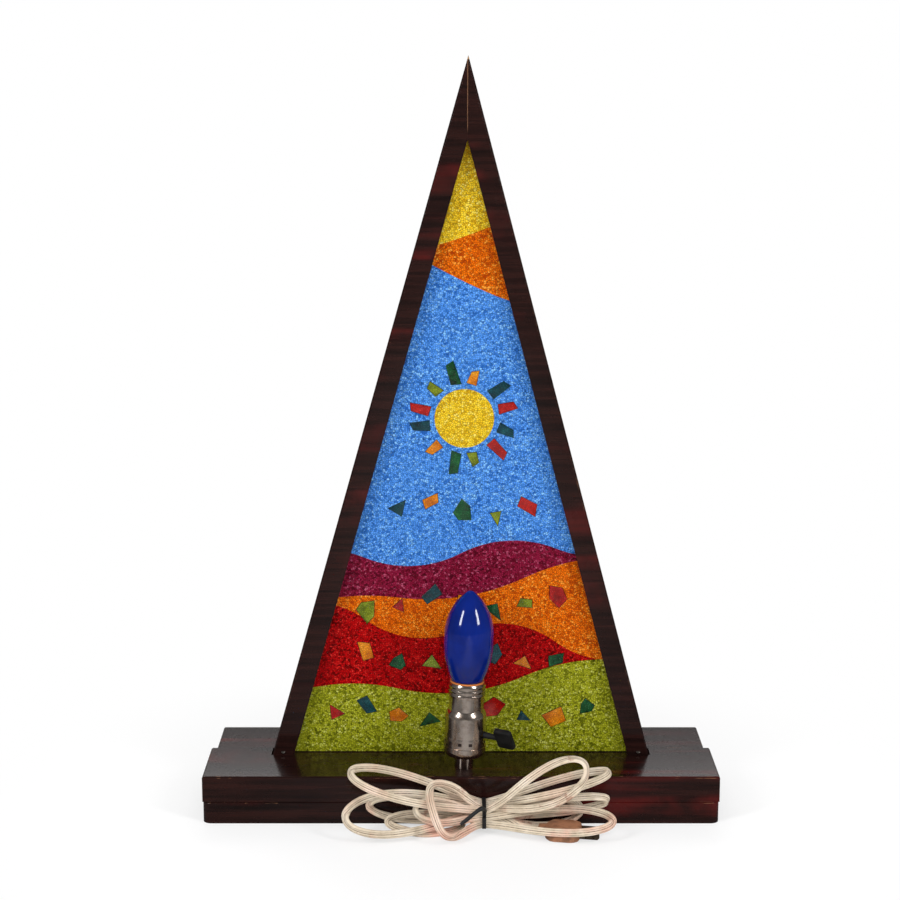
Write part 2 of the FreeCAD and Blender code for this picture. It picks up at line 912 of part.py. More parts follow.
def hank_points():
    """Corners of the hank's route: each loop swells from the tie to its tip and comes back beside itself."""
    start = behind_base(*hank_start)
    points = [behind_base(*lead_points[-1]), start]
    place = V(0, start.y, start.z)
    first_step = loop_point_count // 3
    for side, reach, distance, height, lean, width, column, row in loops:
        tip = behind_base(0, distance, height)
        next_place = waist_place(column, row)
        mean = (place + next_place) / 2
        swell = V(0, math.cos(math.radians(lean)), math.sin(math.radians(lean))) * width / 2
        for step in range(first_step, loop_point_count - 1):
            turn = 2 * math.pi * step / loop_point_count
            out = (1 - math.cos(turn)) / 2
            strand = place if 2 * step < loop_point_count else next_place
            point = mean + (tip - mean) * out + (strand - mean) * (1 - out)
            point += swell * (math.sin(turn) * math.sin(turn / 2) / 0.77)
            point.x = tie_x + side * (waist_half + (reach - waist_half) * out)
            points.append(point)
        points.append(next_place + V(tie_x + side * waist_half, 0, 0))
        points.append(next_place + V(tie_x - side * waist_half, 0, 0))
        place = next_place
        first_step = 2
    points.append(behind_base(*tail_points[0]))
    return points


def biarc(start, way_in, end, way_out):
    """Two tangent arcs from a point and direction to another."""
    span = end - start
    both = way_in + way_out
    spread = 1 - way_in.dot(way_out)
    if spread < 1e-9:
        return [Part.LineSegment(start, end).toShape()]
    push = span.dot(both)
    size = (math.sqrt(push * push + 2 * spread * span.dot(span)) - push) / (2 * spread)
    joint = (start + end + (way_in - way_out) * size) / 2
    edges = []
    for here, way, there in ((start, way_in, joint), (end, way_out * -1, joint)):
        chord = there - here
        across = way - chord * (way.dot(chord) / chord.dot(chord))
        if across.Length < 1e-6:
            edge = Part.LineSegment(here, there).toShape()
        else:
            bulge = chord.Length / 2 * math.tan(way.getAngle(chord) / 2)
            middle = (here + there) / 2 + across.normalize() * bulge
            ends = (here, middle, there) if here is start else (there, middle, here)
            edge = Part.Arc(*ends).toShape()
        edges.append(edge)
    return edges


def hank_path():
    """Smooth path through the middles of every second run between corners, the tie's crossings included."""
    points = hank_points()
    runs = [((a + b) / 2, (b - a).normalize()) for a, b in zip(points, points[1:])]
    first, way_in = runs[0]
    last, way_out = runs[-1]
    at_tie = [k for k, (middle, _) in enumerate(runs) if abs(middle.x - tie_x) < 1e-6]
    picked = [runs[k] for k in range(at_tie[0] % 2, at_tie[-1] + 1, 2)]
    stops = [(first + way_in * cord_tube, way_in)] + picked + [(last - way_out * cord_tube, way_out)]
    edges = [Part.LineSegment(first, stops[0][0]).toShape()]
    for here, there in zip(stops, stops[1:]):
        edges += biarc(*here, *there)
    edges.append(Part.LineSegment(stops[-1][0], last).toShape())
    return Part.Wire(edges)


def least_gap(path, spacing):
    """Least room between the tube and itself, on points spaced along its path."""
    points = path.discretize(Distance=spacing)
    skip = int(3.5 * cord_tube / spacing) + 1
    least = path.Length
    for k, point in enumerate(points):
        for other in points[k + skip:]:
            if abs(other.x - point.x) < least:
                least = min(least, point.distanceToPoint(other))
    return least - cord_tube


def cord_hank():
    path = hank_path()
    radii = [e.Curve.Radius for e in path.Edges if isinstance(e.Curve, Part.Circle)]
    print("hank length %.0f mm, tightest arc %.1f mm" % (path.Length, min(radii)))
    print("hank least gap to itself %.2f mm" % least_gap(path, 2.0))
    return tube(path)


def cord_lead():
    """From the base's groove to the middle of the hank's first run."""
    points = [behind_base(*p) for p in lead_points]
    last = (points[-1] + behind_base(*hank_start)) / 2
    return tube(arc_path(points + [last]))


def cord_tail():
    """From the middle of the hank's last run to the plug."""
    points = [behind_base(*p) for p in tail_points]
    first = (hank_points()[-2] + points[0]) / 2
    return tube(arc_path([first] + points))


def cord_inside():
    """From the base's groove up the threaded tube to the switch block."""
    foot = behind_base(*lead_points[0])
    axis = seated(Part.makeLine(V(0, 0, -deck), V(0, 0, body_base)))
    bottom, top = [v.Point for v in axis.Vertexes]
    rise = (foot.z - bottom.z) / (top.z - bottom.z)
    corner = bottom + (top - bottom) * rise
    return tube(arc_path([foot, V(foot.x, corner.y, foot.z), top], cord_bend_share))


def cord_tie():
    """Flat wire tie round the strands, its ends twisted together at the side away from the base."""
    room = cord_tube / 2 + tie_gap
    columns = max(loop[6] for loop in loops)
    rows = max(loop[7] for loop in loops)
    rear = waist_place(columns, 0)
    near = waist_place(0, rows)
    grown = room + tie_thick

    def rounded_block(width, reach):
        half = width / 2
        block = box(-half, half, rear.y - reach, near.y + reach, rear.z - reach, near.z + reach)
        block = block.makeFillet(reach, [e for e in block.Edges if abs(e.Length - width) < 1e-6])
        block.translate(V(tie_x, 0, 0))
        return block

    band = rounded_block(tie_width, grown).cut(rounded_block(2 * tie_width, room))
    knot = rod(tie_width / 2, tie_knot, V(tie_x, rear.y - room, rear.z + waist_pitch), V(0, -1, 0))
    tail = box(0, tie_tail, -tie_thick / 2, tie_thick / 2, -tie_width / 2, tie_width / 2)
    tail.rotate(V(0, 0, 0), V(0, 1, 0), tie_drop)
    tail.rotate(V(0, 0, 0), UP, tie_way)
    tail.translate(V(tie_x, rear.y - room - tie_knot + tie_thick, rear.z + waist_pitch))
    return band.fuse([knot, tail]).removeSplitter()


def at_plug(shape):
    """Places a piece, drawn along +x from the cord's end, at the end of the tail."""
    end = behind_base(*tail_points[-1])
    way = end - behind_base(*tail_points[-2])
    placed = shape.copy()
    placed.rotate(V(0, 0, 0), UP, math.degrees(math.atan2(way.y, way.x)))
    placed.translate(end)
    return placed


def plug_blades():
    start = plug_length - blade_seat
    end = plug_length + blade_length
    blades = []
    for side in (-1, 1):
        y = side * blade_spacing / 2
        z = blade_width / 2
        blade = box(start, end, y - blade_thick / 2, y + blade_thick / 2, -z, z)
        tip = edges_at(blade, lambda p: abs(p.x - end) < 1e-6)
        tip = [e for e in tip if abs(e.Length - blade_thick) < 1e-6]
        blades.append(blade.makeChamfer(blade_thick, tip))
    return blades


def plug_body():
    """Moulded plug: a slim neck on the cord, flared to a flat round grip."""
    neck = cord_tube / 2 + plug_wall
    wide = plug_width / 2
    half = plug_height / 2
    corner = plug_corner
    bow = corner * (1 - math.sqrt(0.5))
    rise = wide - neck
    start = plug_neck + 0.8 * rise
    outline = face_of(
        (0, -neck),
        (plug_neck, -neck),
        ((plug_neck + 0.15 * rise, -neck - 0.55 * rise), (start, -wide)),
        (plug_length - corner, -wide),
        ((plug_length - bow, bow - wide), (plug_length, corner - wide)),
        (plug_length, wide - corner),
        ((plug_length - bow, wide - bow), (plug_length - corner, wide)),
        (start, wide),
        ((plug_neck + 0.15 * rise, neck + 0.55 * rise), (plug_neck, neck)),
        (0, neck),
    )
    body = slab(outline, -half, half)
    edge = plug_length - plug_bevel
    ramp = plug_neck + rise / 2
    upper = ((0, neck), (plug_neck, neck), (ramp, half), (edge, half), (plug_length, half - plug_bevel))
    lower = [(x, -y) for x, y in reversed(upper)]
    side_view = Part.makePolygon([V(x, y, -wide) for x, y in (*upper, *lower, upper[0])])
    body = body.common(Part.Face(side_view).extrude(UP * 2 * wide))
    body.rotate(V(0, 0, 0), V(1, 0, 0), 90)
    for blade in plug_blades():
        body = body.cut(blade)
    return body


os.makedirs("parts", exist_ok=True)
save("lower_board", lower_board())
save("rear_upper_board", rear_upper_board())
save("front_upper_board", front_upper_board())
save("frame_left_leg", frame_leg(-1))
save("frame_right_leg", frame_leg(1))
save("foot_nails", foot_nail(-1), foot_nail(1))
save("base_screws", *[base_screw(place) for place in screw_places()])
save("glass_sheet", glass_sheet())
for name, solids in {**crushed_glass(), **glass_shards()}.items():
    save(name, *solids)
for name, piece in (
    ("socket_cap", socket_cap()),
    ("socket_shell", socket_shell()),
    ("socket_liner", socket_liner()),
    ("socket_body", socket_body()),
    ("screw_shell", screw_shell()),
    ("centre_contact", centre_contact()),
    ("nipple", nipple()),
    ("nipple_washer", washer()),
    ("nipple_nut", lock_nut()),
    ("switch_shaft", switch_shaft()),
    ("switch_knob", switch_knob()),
    ("bulb_glass", bulb_glass()),
    ("bulb_cap", bulb_cap()),
    ("bulb_insulator", bulb_insulator()),
    ("bulb_contact", bulb_contact()),
    ("bulb_stem", bulb_stem()),
    ("bulb_filament", bulb_filament()),
):
    save(name, seated(piece))
save("terminal_screws", seated(terminal_screw(-1)), seated(terminal_screw(1)))
save("cord_lead", cord_lead())
save("cord_hank", cord_hank())
save("cord_tail", cord_tail())
save("cord_inside", cord_inside())
save("cord_tie", cord_tie())
save("plug_body", at_plug(plug_body()))
save("plug_blades", *[at_plug(blade) for blade in plug_blades()])
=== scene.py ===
# %% [markdown]
# # An accent lamp with a crushed-glass panel
# A tall wooden triangle holds a sheet of glass covered with coloured glass grains. A blue bulb stands
# behind it in a nickelled lampholder, and the cord lies tied in a hank. The measured model is loaded first
# and stays as it is; this script gives each piece its rounding, grain, gloss and wear.

# %% Load the measured model
import json
import math

import bmesh
import bpy
import numpy as np
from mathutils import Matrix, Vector

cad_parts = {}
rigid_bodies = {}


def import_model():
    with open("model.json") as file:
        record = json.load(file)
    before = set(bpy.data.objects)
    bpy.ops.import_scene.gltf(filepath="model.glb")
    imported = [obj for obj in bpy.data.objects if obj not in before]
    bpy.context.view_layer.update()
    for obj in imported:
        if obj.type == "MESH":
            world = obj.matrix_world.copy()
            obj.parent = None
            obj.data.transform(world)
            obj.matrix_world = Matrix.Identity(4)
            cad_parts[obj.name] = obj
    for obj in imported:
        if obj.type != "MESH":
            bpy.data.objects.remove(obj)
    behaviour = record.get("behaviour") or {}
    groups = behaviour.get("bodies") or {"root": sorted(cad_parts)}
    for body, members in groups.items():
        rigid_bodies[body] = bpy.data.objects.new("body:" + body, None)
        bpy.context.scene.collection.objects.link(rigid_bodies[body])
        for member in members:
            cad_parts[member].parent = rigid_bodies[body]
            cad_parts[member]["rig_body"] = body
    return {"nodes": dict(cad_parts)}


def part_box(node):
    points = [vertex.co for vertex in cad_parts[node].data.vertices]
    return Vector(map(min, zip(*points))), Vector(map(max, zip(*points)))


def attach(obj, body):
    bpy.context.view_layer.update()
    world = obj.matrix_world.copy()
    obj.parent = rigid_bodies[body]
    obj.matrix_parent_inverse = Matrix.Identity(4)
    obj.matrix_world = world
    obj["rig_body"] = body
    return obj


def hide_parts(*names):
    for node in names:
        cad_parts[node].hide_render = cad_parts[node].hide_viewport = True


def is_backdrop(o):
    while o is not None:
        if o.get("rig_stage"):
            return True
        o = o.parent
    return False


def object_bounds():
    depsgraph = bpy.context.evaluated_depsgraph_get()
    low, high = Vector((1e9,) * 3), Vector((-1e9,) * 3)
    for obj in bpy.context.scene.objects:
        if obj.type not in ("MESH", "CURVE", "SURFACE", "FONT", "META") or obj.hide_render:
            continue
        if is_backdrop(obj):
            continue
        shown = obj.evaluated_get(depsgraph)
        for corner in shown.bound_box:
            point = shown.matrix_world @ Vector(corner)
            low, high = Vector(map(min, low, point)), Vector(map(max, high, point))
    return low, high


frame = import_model()
nodes = frame["nodes"]
size_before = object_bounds()
# one millimetre, in Blender's metres
MM = 0.001

# %% [markdown]
# ## Camera
# The photograph was taken with a long lens from the bulb's side, a little above the bulb. The place below
# comes from the base's edges and the legs' taper, so the render can be laid over the photograph. Lens and
# film are given in real millimetres, because a long lens shows in how little the far edges shrink.

# %% Place the camera
camera_place = (-9.15 * MM, -1686.5 * MM, 639.9 * MM)
camera_pitch = math.radians(11.2)
lens_mm = 82.0
film_mm = 36.0

camera_data = bpy.data.cameras.new("camera")
camera_data.sensor_width = film_mm
camera_data.lens = lens_mm
camera = bpy.data.objects.new("camera", camera_data)
camera.location = camera_place
camera.rotation_euler = (math.radians(90) - camera_pitch, 0, 0)
bpy.context.scene.collection.objects.link(camera)
bpy.context.scene.camera = camera
bpy.context.scene.view_settings.view_transform = "Standard"
print("camera", lens_mm, "mm lens, looking", round(math.degrees(camera_pitch), 1), "degrees down")

# %% [markdown]
# ## A short way to write shader maths
# A material is a graph of nodes. Written out node by node it is hard to read, so a small class wraps a
# socket and lets Python's own operators add the Math nodes. Colours go through Mix and ramps, because a
# Math node would turn them grey.


# %% Shader helpers
class Wire:
    """An output socket that can be used in Python arithmetic."""

    def __init__(self, look, socket):
        self.look = look
        self.socket = socket

    def maths(self, operation, *values):
        return self.look.add("ShaderNodeMath", {"operation": operation}, dict(enumerate(values)))

    def __add__(self, other):
        return self.maths("ADD", self, other)

    def __sub__(self, other):
        return self.maths("SUBTRACT", self, other)

    def __rsub__(self, other):
        return self.maths("SUBTRACT", other, self)

    def __mul__(self, other):
        return self.maths("MULTIPLY", self, other)

    def __pow__(self, other):
        return self.maths("POWER", self, other)

    __radd__ = __add__
    __rmul__ = __mul__

    def size(self):
        return self.maths("ABSOLUTE", self)

    def cosine(self):
        return self.maths("COSINE", self)

    def most(self, other):
        return self.maths("MAXIMUM", self, other)

    def between(self, low, high):
        """0 below low, 1 above high, and a smooth step from one to the other."""
        smooth = {"interpolation_type": "SMOOTHSTEP"}
        return self.look.add("ShaderNodeMapRange", smooth, {0: self, 1: low, 2: high})


class Look:
    """A material being built: every call adds one node and gives back its output."""

    def __init__(self, name):
        self.material = bpy.data.materials.new(name)
        self.material.use_nodes = True
        self.tree = self.material.node_tree
        self.tree.nodes.clear()
        self.place = self.add("ShaderNodeTexCoord", {}, {}, "Object")

    def add(self, kind, settings, values, output=0):
        node = self.tree.nodes.new(kind)
        for key, value in settings.items():
            setattr(node, key, value)
        for key, value in values.items():
            if isinstance(value, Wire):
                self.tree.links.new(value.socket, node.inputs[key])
            else:
                node.inputs[key].default_value = value
        return Wire(self, node.outputs[output])

    def stretched(self, scale, turn=(0, 0, 0), shift=(0, 0, 0)):
        """Object coordinates, turned and scaled, for a pattern with a direction."""
        values = {"Vector": self.place, "Scale": scale, "Rotation": turn, "Location": shift}
        return self.add("ShaderNodeMapping", {}, values)

    def noise(self, scale, detail=3.0, roughness=0.55, vector=None, distortion=0.0):
        values = {"Vector": vector or self.place, "Scale": scale, "Detail": detail}
        values.update({"Roughness": roughness, "Distortion": distortion})
        return self.add("ShaderNodeTexNoise", {}, values)

    def cells(self, scale, feature="F1", output="Distance"):
        values = {"Vector": self.place, "Scale": scale}
        return self.add("ShaderNodeTexVoronoi", {"feature": feature}, values, output)

    def parts(self, vector=None):
        """The x, y and z of a vector."""
        split = self.add("ShaderNodeSeparateXYZ", {}, {0: vector or self.place})
        outputs = split.socket.node.outputs
        return [Wire(self, outputs[k]) for k in range(3)]

    def blend(self, amount, first, second):
        """Mix of two colours, by a factor that changes over the surface."""
        node = self.tree.nodes.new("ShaderNodeMix")
        node.data_type = "RGBA"
        self.tree.links.new(amount.socket, node.inputs[0])
        for socket, colour in ((node.inputs[6], first), (node.inputs[7], second)):
            if isinstance(colour, Wire):
                self.tree.links.new(colour.socket, socket)
            else:
                socket.default_value = (*colour, 1)
        return Wire(self, node.outputs[2])

    def ramp(self, value, *stops):
        """Colour ramp with (place, colour) stops."""
        node = self.tree.nodes.new("ShaderNodeValToRGB")
        self.tree.links.new(value.socket, node.inputs[0])
        points = node.color_ramp.elements
        while len(points) < len(stops):
            points.new(0.5)
        for point, (place, colour) in zip(points, stops):
            point.position = place
            point.color = (*colour, 1)
        return Wire(self, node.outputs[0])

    def bump(self, height, distance, strength):
        values = {"Height": height, "Distance": distance, "Strength": strength}
        return self.add("ShaderNodeBump", {}, values)

    def principled(self, **values):
        """The main shader, with each socket named as a keyword."""
        sockets = {key.replace("_", " "): value for key, value in values.items()}
        if not isinstance(sockets["Base Color"], Wire):
            sockets["Base Color"] = (*sockets["Base Color"], 1)
        return self.add("ShaderNodeBsdfPrincipled", {}, sockets)

    def finish(self, shader):
        output = self.tree.nodes.new("ShaderNodeOutputMaterial")
        self.tree.links.new(shader.socket, output.inputs[0])
        return self.material


def srgb(red, green, blue):
    """A colour read from a screen, 0 to 255, as linear light."""
    values = [v / 255 for v in (red, green, blue)]
    return tuple(v / 12.92 if v <= 0.04045 else ((v + 0.055) / 1.055) ** 2.4 for v in values)


# %% [markdown]
# ## Lacquered wood
# The boards and legs were stained nearly black, then given a glossy lacquer that has rubbed through at the
# edges. The colour is a dark brown with redder streaks along the grain. Noise that is stretched along each
# piece makes the grain, so no picture has to be wrapped round it, and each leg turns the pattern to its own
# slope. A clear coat over a duller base gives the gloss, and the bump stays under a tenth of a millimetre,
# because the lacquer has filled the pores. At the top the two legs meet in a mitre with a thin open joint.


# %% Wood finishes
mitre_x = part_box("frame_right_leg")[0].x
apex_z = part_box("frame_left_leg")[1].z
mitre_length = 62 * MM
mitre_low_z = apex_z - mitre_length
joint_core = 0.1 * MM
joint_edge = 0.45 * MM
joint_fade = 6 * MM
ragged_depth = 9 * MM


def lacquered(name, turn=0.0, worn=0.0, mitred=False):
    """Grain along the x axis, or turned to a leg's slope, with bare wood where the lacquer has worn."""
    look = Look(name)
    angle = (0, turn, 0)
    along = look.noise(1.0, 5.0, 0.6, look.stretched((9, 190, 190), angle), 0.3)
    streaks = look.noise(1.0, 3.0, 0.5, look.stretched((3.2, 46, 46), angle))
    patches = look.noise(11.0, 4.0, 0.6)
    dust = look.noise(900.0, 2.0, 0.7)
    dark = srgb(18, 9, 8)
    brown = srgb(39, 19, 16)
    red = srgb(86, 21, 19)
    bare_wood = srgb(150, 108, 78)
    end_grain = srgb(196, 152, 104)
    colour = look.ramp(along, (0.34, dark), (0.66, brown))
    colour = look.blend(streaks.between(0.5, 0.72) * patches.between(0.42, 0.66) * 0.8, colour, red)
    if mitred:
        x, _, z = look.parts()
        gap = 1 - (x - mitre_x).size().between(joint_core, joint_edge)
        colour = look.blend(gap * z.between(mitre_low_z, mitre_low_z + joint_fade) * 0.45, colour, bare_wood)
        ragged = z + patches * ragged_depth
        colour = look.blend(ragged.between(apex_z + 0.5 * MM, apex_z + 2 * MM), colour, end_grain)
    if worn:
        chips = look.noise(170.0, 5.0, 0.75, look.stretched((0.5, 1, 1), angle))
        spread = look.noise(24.0, 2.0)
        bare = (chips * 0.6 + spread * 0.4).between(0.54, 0.6) * worn
        colour = look.blend(bare, colour, bare_wood)
        gloss = 0.3 + bare * 0.4
    else:
        scuffs = look.noise(24.0, 6.0, 0.75)
        gloss = 0.26 + scuffs.between(0.5, 0.85) * 0.25
    relief = along * 0.5 + dust * 0.25 + patches * 0.6
    shader = look.principled(
        Base_Color=colour,
        Roughness=gloss,
        Normal=look.bump(relief, 0.0003, 0.3),
        Coat_Weight=0.5,
        Coat_Roughness=0.12,
        Specular_IOR_Level=0.05,
    )
    return look.finish(shader)


# how far a leg runs inwards on its way up, in millimetres
leg_run = 161.6
leg_rise = 590.0
frame_slope = math.atan2(leg_run, leg_rise)
wood_board = lacquered("wood_board")
wood_left = lacquered("wood_left_leg", math.radians(90) - frame_slope, mitred=True)
wood_right = lacquered("wood_right_leg", math.radians(90) + frame_slope, mitred=True)
wood_worn = lacquered("wood_worn", worn=0.85)
print("mitre at x", round(mitre_x, 5), "apex at z", round(apex_z, 4))

# %% [markdown]
# ## Dressing a measured piece
# The measured pieces come in as loose triangles with knife-sharp edges. A copy is welded and its flat faces
# are joined, so that a Bevel modifier can round every true edge by a fraction of a millimetre: real edges
# always catch a little light.


# %% Welded, bevelled copies
weld_distance = 0.002 * MM
flat_angle = math.radians(0.4)
bevel_angle = math.radians(24)
sharp_angle = math.radians(30)
bevel_segments = 2


def apply_modifiers(piece):
    """Turns a piece with modifiers into a plain mesh."""
    graph = bpy.context.evaluated_depsgraph_get()
    made = bpy.data.meshes.new_from_object(piece.evaluated_get(graph))
    piece.modifiers.clear()
    piece.data = made


def dress(node, material, slot, bevel=0.0, edge_material=None):
    """The scene's own piece for one node: a copy with rounded edges and a finish."""
    source = nodes[node]
    mesh = bpy.data.meshes.new(node + "_dressed")
    work = bmesh.new()
    work.from_mesh(source.data)
    bmesh.ops.remove_doubles(work, verts=work.verts, dist=weld_distance)
    if bevel:
        bmesh.ops.dissolve_limit(work, angle_limit=flat_angle, verts=work.verts, edges=work.edges)
    work.to_mesh(mesh)
    work.free()
    mesh.materials.clear()
    mesh.materials.append(material)
    piece = bpy.data.objects.new(node + "_piece", mesh)
    bpy.context.scene.collection.objects.link(piece)
    if bevel:
        modifier = piece.modifiers.new("rounding", "BEVEL")
        modifier.width = bevel
        modifier.segments = bevel_segments
        modifier.limit_method = "ANGLE"
        modifier.angle_limit = bevel_angle
        modifier.miter_outer = "MITER_ARC"
        if edge_material:
            mesh.materials.append(edge_material)
            modifier.material = 1
        apply_modifiers(piece)
    piece.data.shade_smooth()
    piece.data.set_sharp_from_angle(angle=sharp_angle)
    weighted = piece.modifiers.new("even_shading", "WEIGHTED_NORMAL")
    weighted.keep_sharp = True
    apply_modifiers(piece)
    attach(piece, source["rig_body"])
    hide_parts(node)
    print(piece.name, "faces", len(piece.data.polygons))
    return piece


# %% [markdown]
# ## Boards and legs
# Three boards make the stepped base and two legs the triangle. Their edges were sanded only lightly, so the
# rounding is about half a millimetre. The bevel's own faces get the worn finish, because lacquer wears
# first on an edge, and a second material there is simpler than a mask that has to find the edges.

# %% Dress the boards and legs
board_edge = 0.6 * MM
leg_edge = 0.5 * MM
for node in ("lower_board", "rear_upper_board", "front_upper_board"):
    dress(node, wood_board, "lacquered_wood", board_edge, wood_worn)
dress("frame_left_leg", wood_left, "lacquered_wood", leg_edge, wood_worn)
dress("frame_right_leg", wood_right, "lacquered_wood", leg_edge, wood_worn)

# %% [markdown]
# ## Metals and mouldings
# The lampholder is brass under a nickel plate that has dulled and browned with handling. Its colour comes
# from a slow noise for the tarnish and a fine one for specks, and its roughness follows the tarnish,
# because tarnished metal is duller as well as darker. The switch block, knob, plug and tie are moulded
# plastics, with a faint mottle so that they don't look painted. The liner is fibre, orange-brown at its rim,
# with painted shade that makes it dark in the shell.


# %% Small finishes
def tarnished(name, bright, dull, roughness):
    """Polished metal with dull patches and fine turning lines."""
    look = Look(name)
    slow = look.noise(60.0, 5.0, 0.65)
    fine = look.noise(420.0, 4.0, 0.7)
    tarnish = (slow * 0.7 + fine * 0.3).between(0.42, 0.66)
    colour = look.blend(tarnish, bright, dull)
    lines = look.noise(1.0, 2.0, 0.5, look.stretched((40, 40, 2600)))
    shader = look.principled(
        Base_Color=colour,
        Metallic=1.0,
        Roughness=roughness + tarnish * 0.14,
        Normal=look.bump(lines * 0.4 + fine * 0.4, 0.00003, 0.4),
    )
    return look.finish(shader)


def moulded(name, colour, roughness, coat=0.0, mottle=0.1, sheen_level=0.4):
    """Plain plastic of one colour with a faint mottle."""
    look = Look(name)
    cloud = look.noise(140.0, 4.0, 0.6)
    darker = tuple(c * (1 - mottle) for c in colour)
    lighter = tuple(min(1.0, c * (1 + mottle) + 0.01 * mottle) for c in colour)
    tone = look.blend(cloud.between(0.35, 0.65), darker, lighter)
    shader = look.principled(
        Base_Color=tone,
        Roughness=roughness + cloud * 0.08,
        Normal=look.bump(look.noise(1500.0, 2.0), 0.00002, 0.3),
        Specular_IOR_Level=sheen_level,
        Coat_Weight=coat,
        Coat_Roughness=0.06,
    )
    return look.finish(shader)


def fibre_with_painted_shade(name):
    """Orange-brown at the rim, where light reaches it, with painted shade: nearly black inside the shell."""
    look = Look(name)
    lit_rim = 4 * MM
    fade = 2 * MM
    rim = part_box("socket_liner")[1].z - lit_rim
    height = look.parts()[2]
    cloud = look.noise(500.0, 3.0, 0.6)
    bright = look.blend(cloud, srgb(168, 88, 30), srgb(206, 122, 56))
    # painted shade: the fibre turns nearly black below the lit rim, inside the shell
    colour = look.blend(height.between(rim, rim + fade), srgb(26, 10, 8), bright)
    return look.finish(look.principled(Base_Color=colour, Roughness=0.7))


nickel = tarnished("nickel", srgb(214, 200, 188), srgb(158, 136, 120), 0.17)
steel = tarnished("steel", srgb(150, 146, 140), srgb(88, 76, 66), 0.35)
brass = tarnished("brass", srgb(206, 170, 96), srgb(126, 92, 44), 0.3)
aluminium = tarnished("aluminium", srgb(205, 204, 200), srgb(168, 164, 158), 0.28)
fibre = fibre_with_painted_shade("fibre")
phenolic = moulded("phenolic", srgb(40, 26, 20), 0.35, 0.3)
knob_plastic = moulded("knob_plastic", srgb(15, 15, 15), 0.6, mottle=0.4, sheen_level=0.25)
tie_plastic = moulded("tie_plastic", srgb(24, 24, 26), 0.5)
plug_plastic = moulded("plug_plastic", srgb(142, 98, 70), 0.45, 0.1, 0.3)
blade_metal = tarnished("blade_metal", srgb(120, 108, 92), srgb(70, 56, 44), 0.35)
print("finishes so far", len(bpy.data.materials))

# %% [markdown]
# ## The bulb
# The glass is coated with an opaque deep blue enamel and fired to a gloss. A clear coat over a slightly
# rough blue keeps the two tall reflections of the soft lamps crisp while the colour under them stays rich.


# %% Bulb finishes
def blue_enamel():
    """Deep blue under a clear, glossy coat."""
    look = Look("blue_enamel")
    cloud = look.noise(40.0, 3.0)
    colour = look.blend(cloud.between(0.3, 0.7), srgb(1, 21, 90), srgb(3, 29, 110))
    shader = look.principled(
        Base_Color=colour,
        Roughness=0.2,
        Normal=look.bump(look.noise(700.0, 2.0), 0.00001, 0.3),
        Specular_IOR_Level=0.05,
        Coat_Weight=1.0,
        Coat_Roughness=0.03,
    )
    return look.finish(shader)


def clear_glass(name, tint, weight):
    """A thin clear sheet: mostly see-through, with a gloss that grows at grazing angles."""
    look = Look(name)
    inside = tuple(0.05 * part for part in tint)
    gloss = look.principled(Base_Color=inside, Roughness=0.04, Coat_Weight=0.5)
    clear = look.add("ShaderNodeBsdfTransparent", {}, {"Color": (*tint, 1)})
    edge = look.add("ShaderNodeFresnel", {}, {"IOR": 1.45})
    amount = edge * weight
    return look.finish(look.add("ShaderNodeMixShader", {}, {0: amount, 1: clear, 2: gloss}))


enamel = blue_enamel()
sheet_glass = clear_glass("sheet_glass", (0.98, 0.99, 0.985), 0.25)
stem_glass = clear_glass("stem_glass", (0.9, 0.95, 0.95), 1.0)
print("glass finishes", enamel.name, sheet_glass.name, stem_glass.name)

# %% [markdown]
# ## Lampholder, switch, bulb and plug
# These are turned, pressed or moulded pieces with the rounding already in the measured model, so most of
# them only need a finish. The nut, the knob, the plug and its blades have sharp edges in the model and get
# a small bevel. One table keeps them together: node, finish, slot and bevel.

# %% Dress the small pieces
for node, material, slot, bevel in (
    ("socket_cap", nickel, "nickel_brass", 0.0),
    ("socket_shell", nickel, "nickel_brass", 0.0),
    ("socket_liner", fibre, "fibre", 0.0),
    ("socket_body", phenolic, "phenolic", 0.0),
    ("terminal_screws", brass, "contact_brass", 0.0),
    ("screw_shell", brass, "contact_brass", 0.0),
    ("centre_contact", brass, "contact_brass", 0.0),
    ("nipple", steel, "fastener_steel", 0.0),
    ("nipple_washer", steel, "fastener_steel", 0.0),
    ("nipple_nut", steel, "fastener_steel", 0.2 * MM),
    ("foot_nails", steel, "fastener_steel", 0.0),
    ("base_screws", steel, "fastener_steel", 0.0),
    ("switch_shaft", brass, "contact_brass", 0.0),
    ("switch_knob", knob_plastic, "knob_black", 0.35 * MM),
    ("bulb_glass", enamel, "bulb_blue", 0.0),
    ("bulb_cap", aluminium, "bulb_aluminium", 0.0),
    ("bulb_insulator", phenolic, "phenolic", 0.0),
    ("bulb_contact", brass, "contact_brass", 0.0),
    ("bulb_stem", stem_glass, "bulb_clear", 0.0),
    ("bulb_filament", steel, "filament", 0.0),
    ("glass_sheet", sheet_glass, "clear_glass", 0.0),
    ("plug_body", plug_plastic, "plug_ivory", 0.5 * MM),
    ("plug_blades", blade_metal, "contact_brass", 0.2 * MM),
):
    dress(node, material, slot, bevel)

# %% [markdown]
# ## Crushed glass
# Coloured glass was crushed to grains of under two millimetres, sorted by colour, and glued to the sheet.
# Seen through the sheet, each grain is a small cell, lighter or darker than its neighbours, with a thin
# dark joint between them. On the display side the grains stand proud, so there they are real pieces,
# scattered over each band of colour by Geometry Nodes. Cell noise draws the flat side, because the glue
# there is level and thousands of separate pieces behind glass would look no different.


# %% Crushed-glass finishes
grain_size = 1.65 * MM


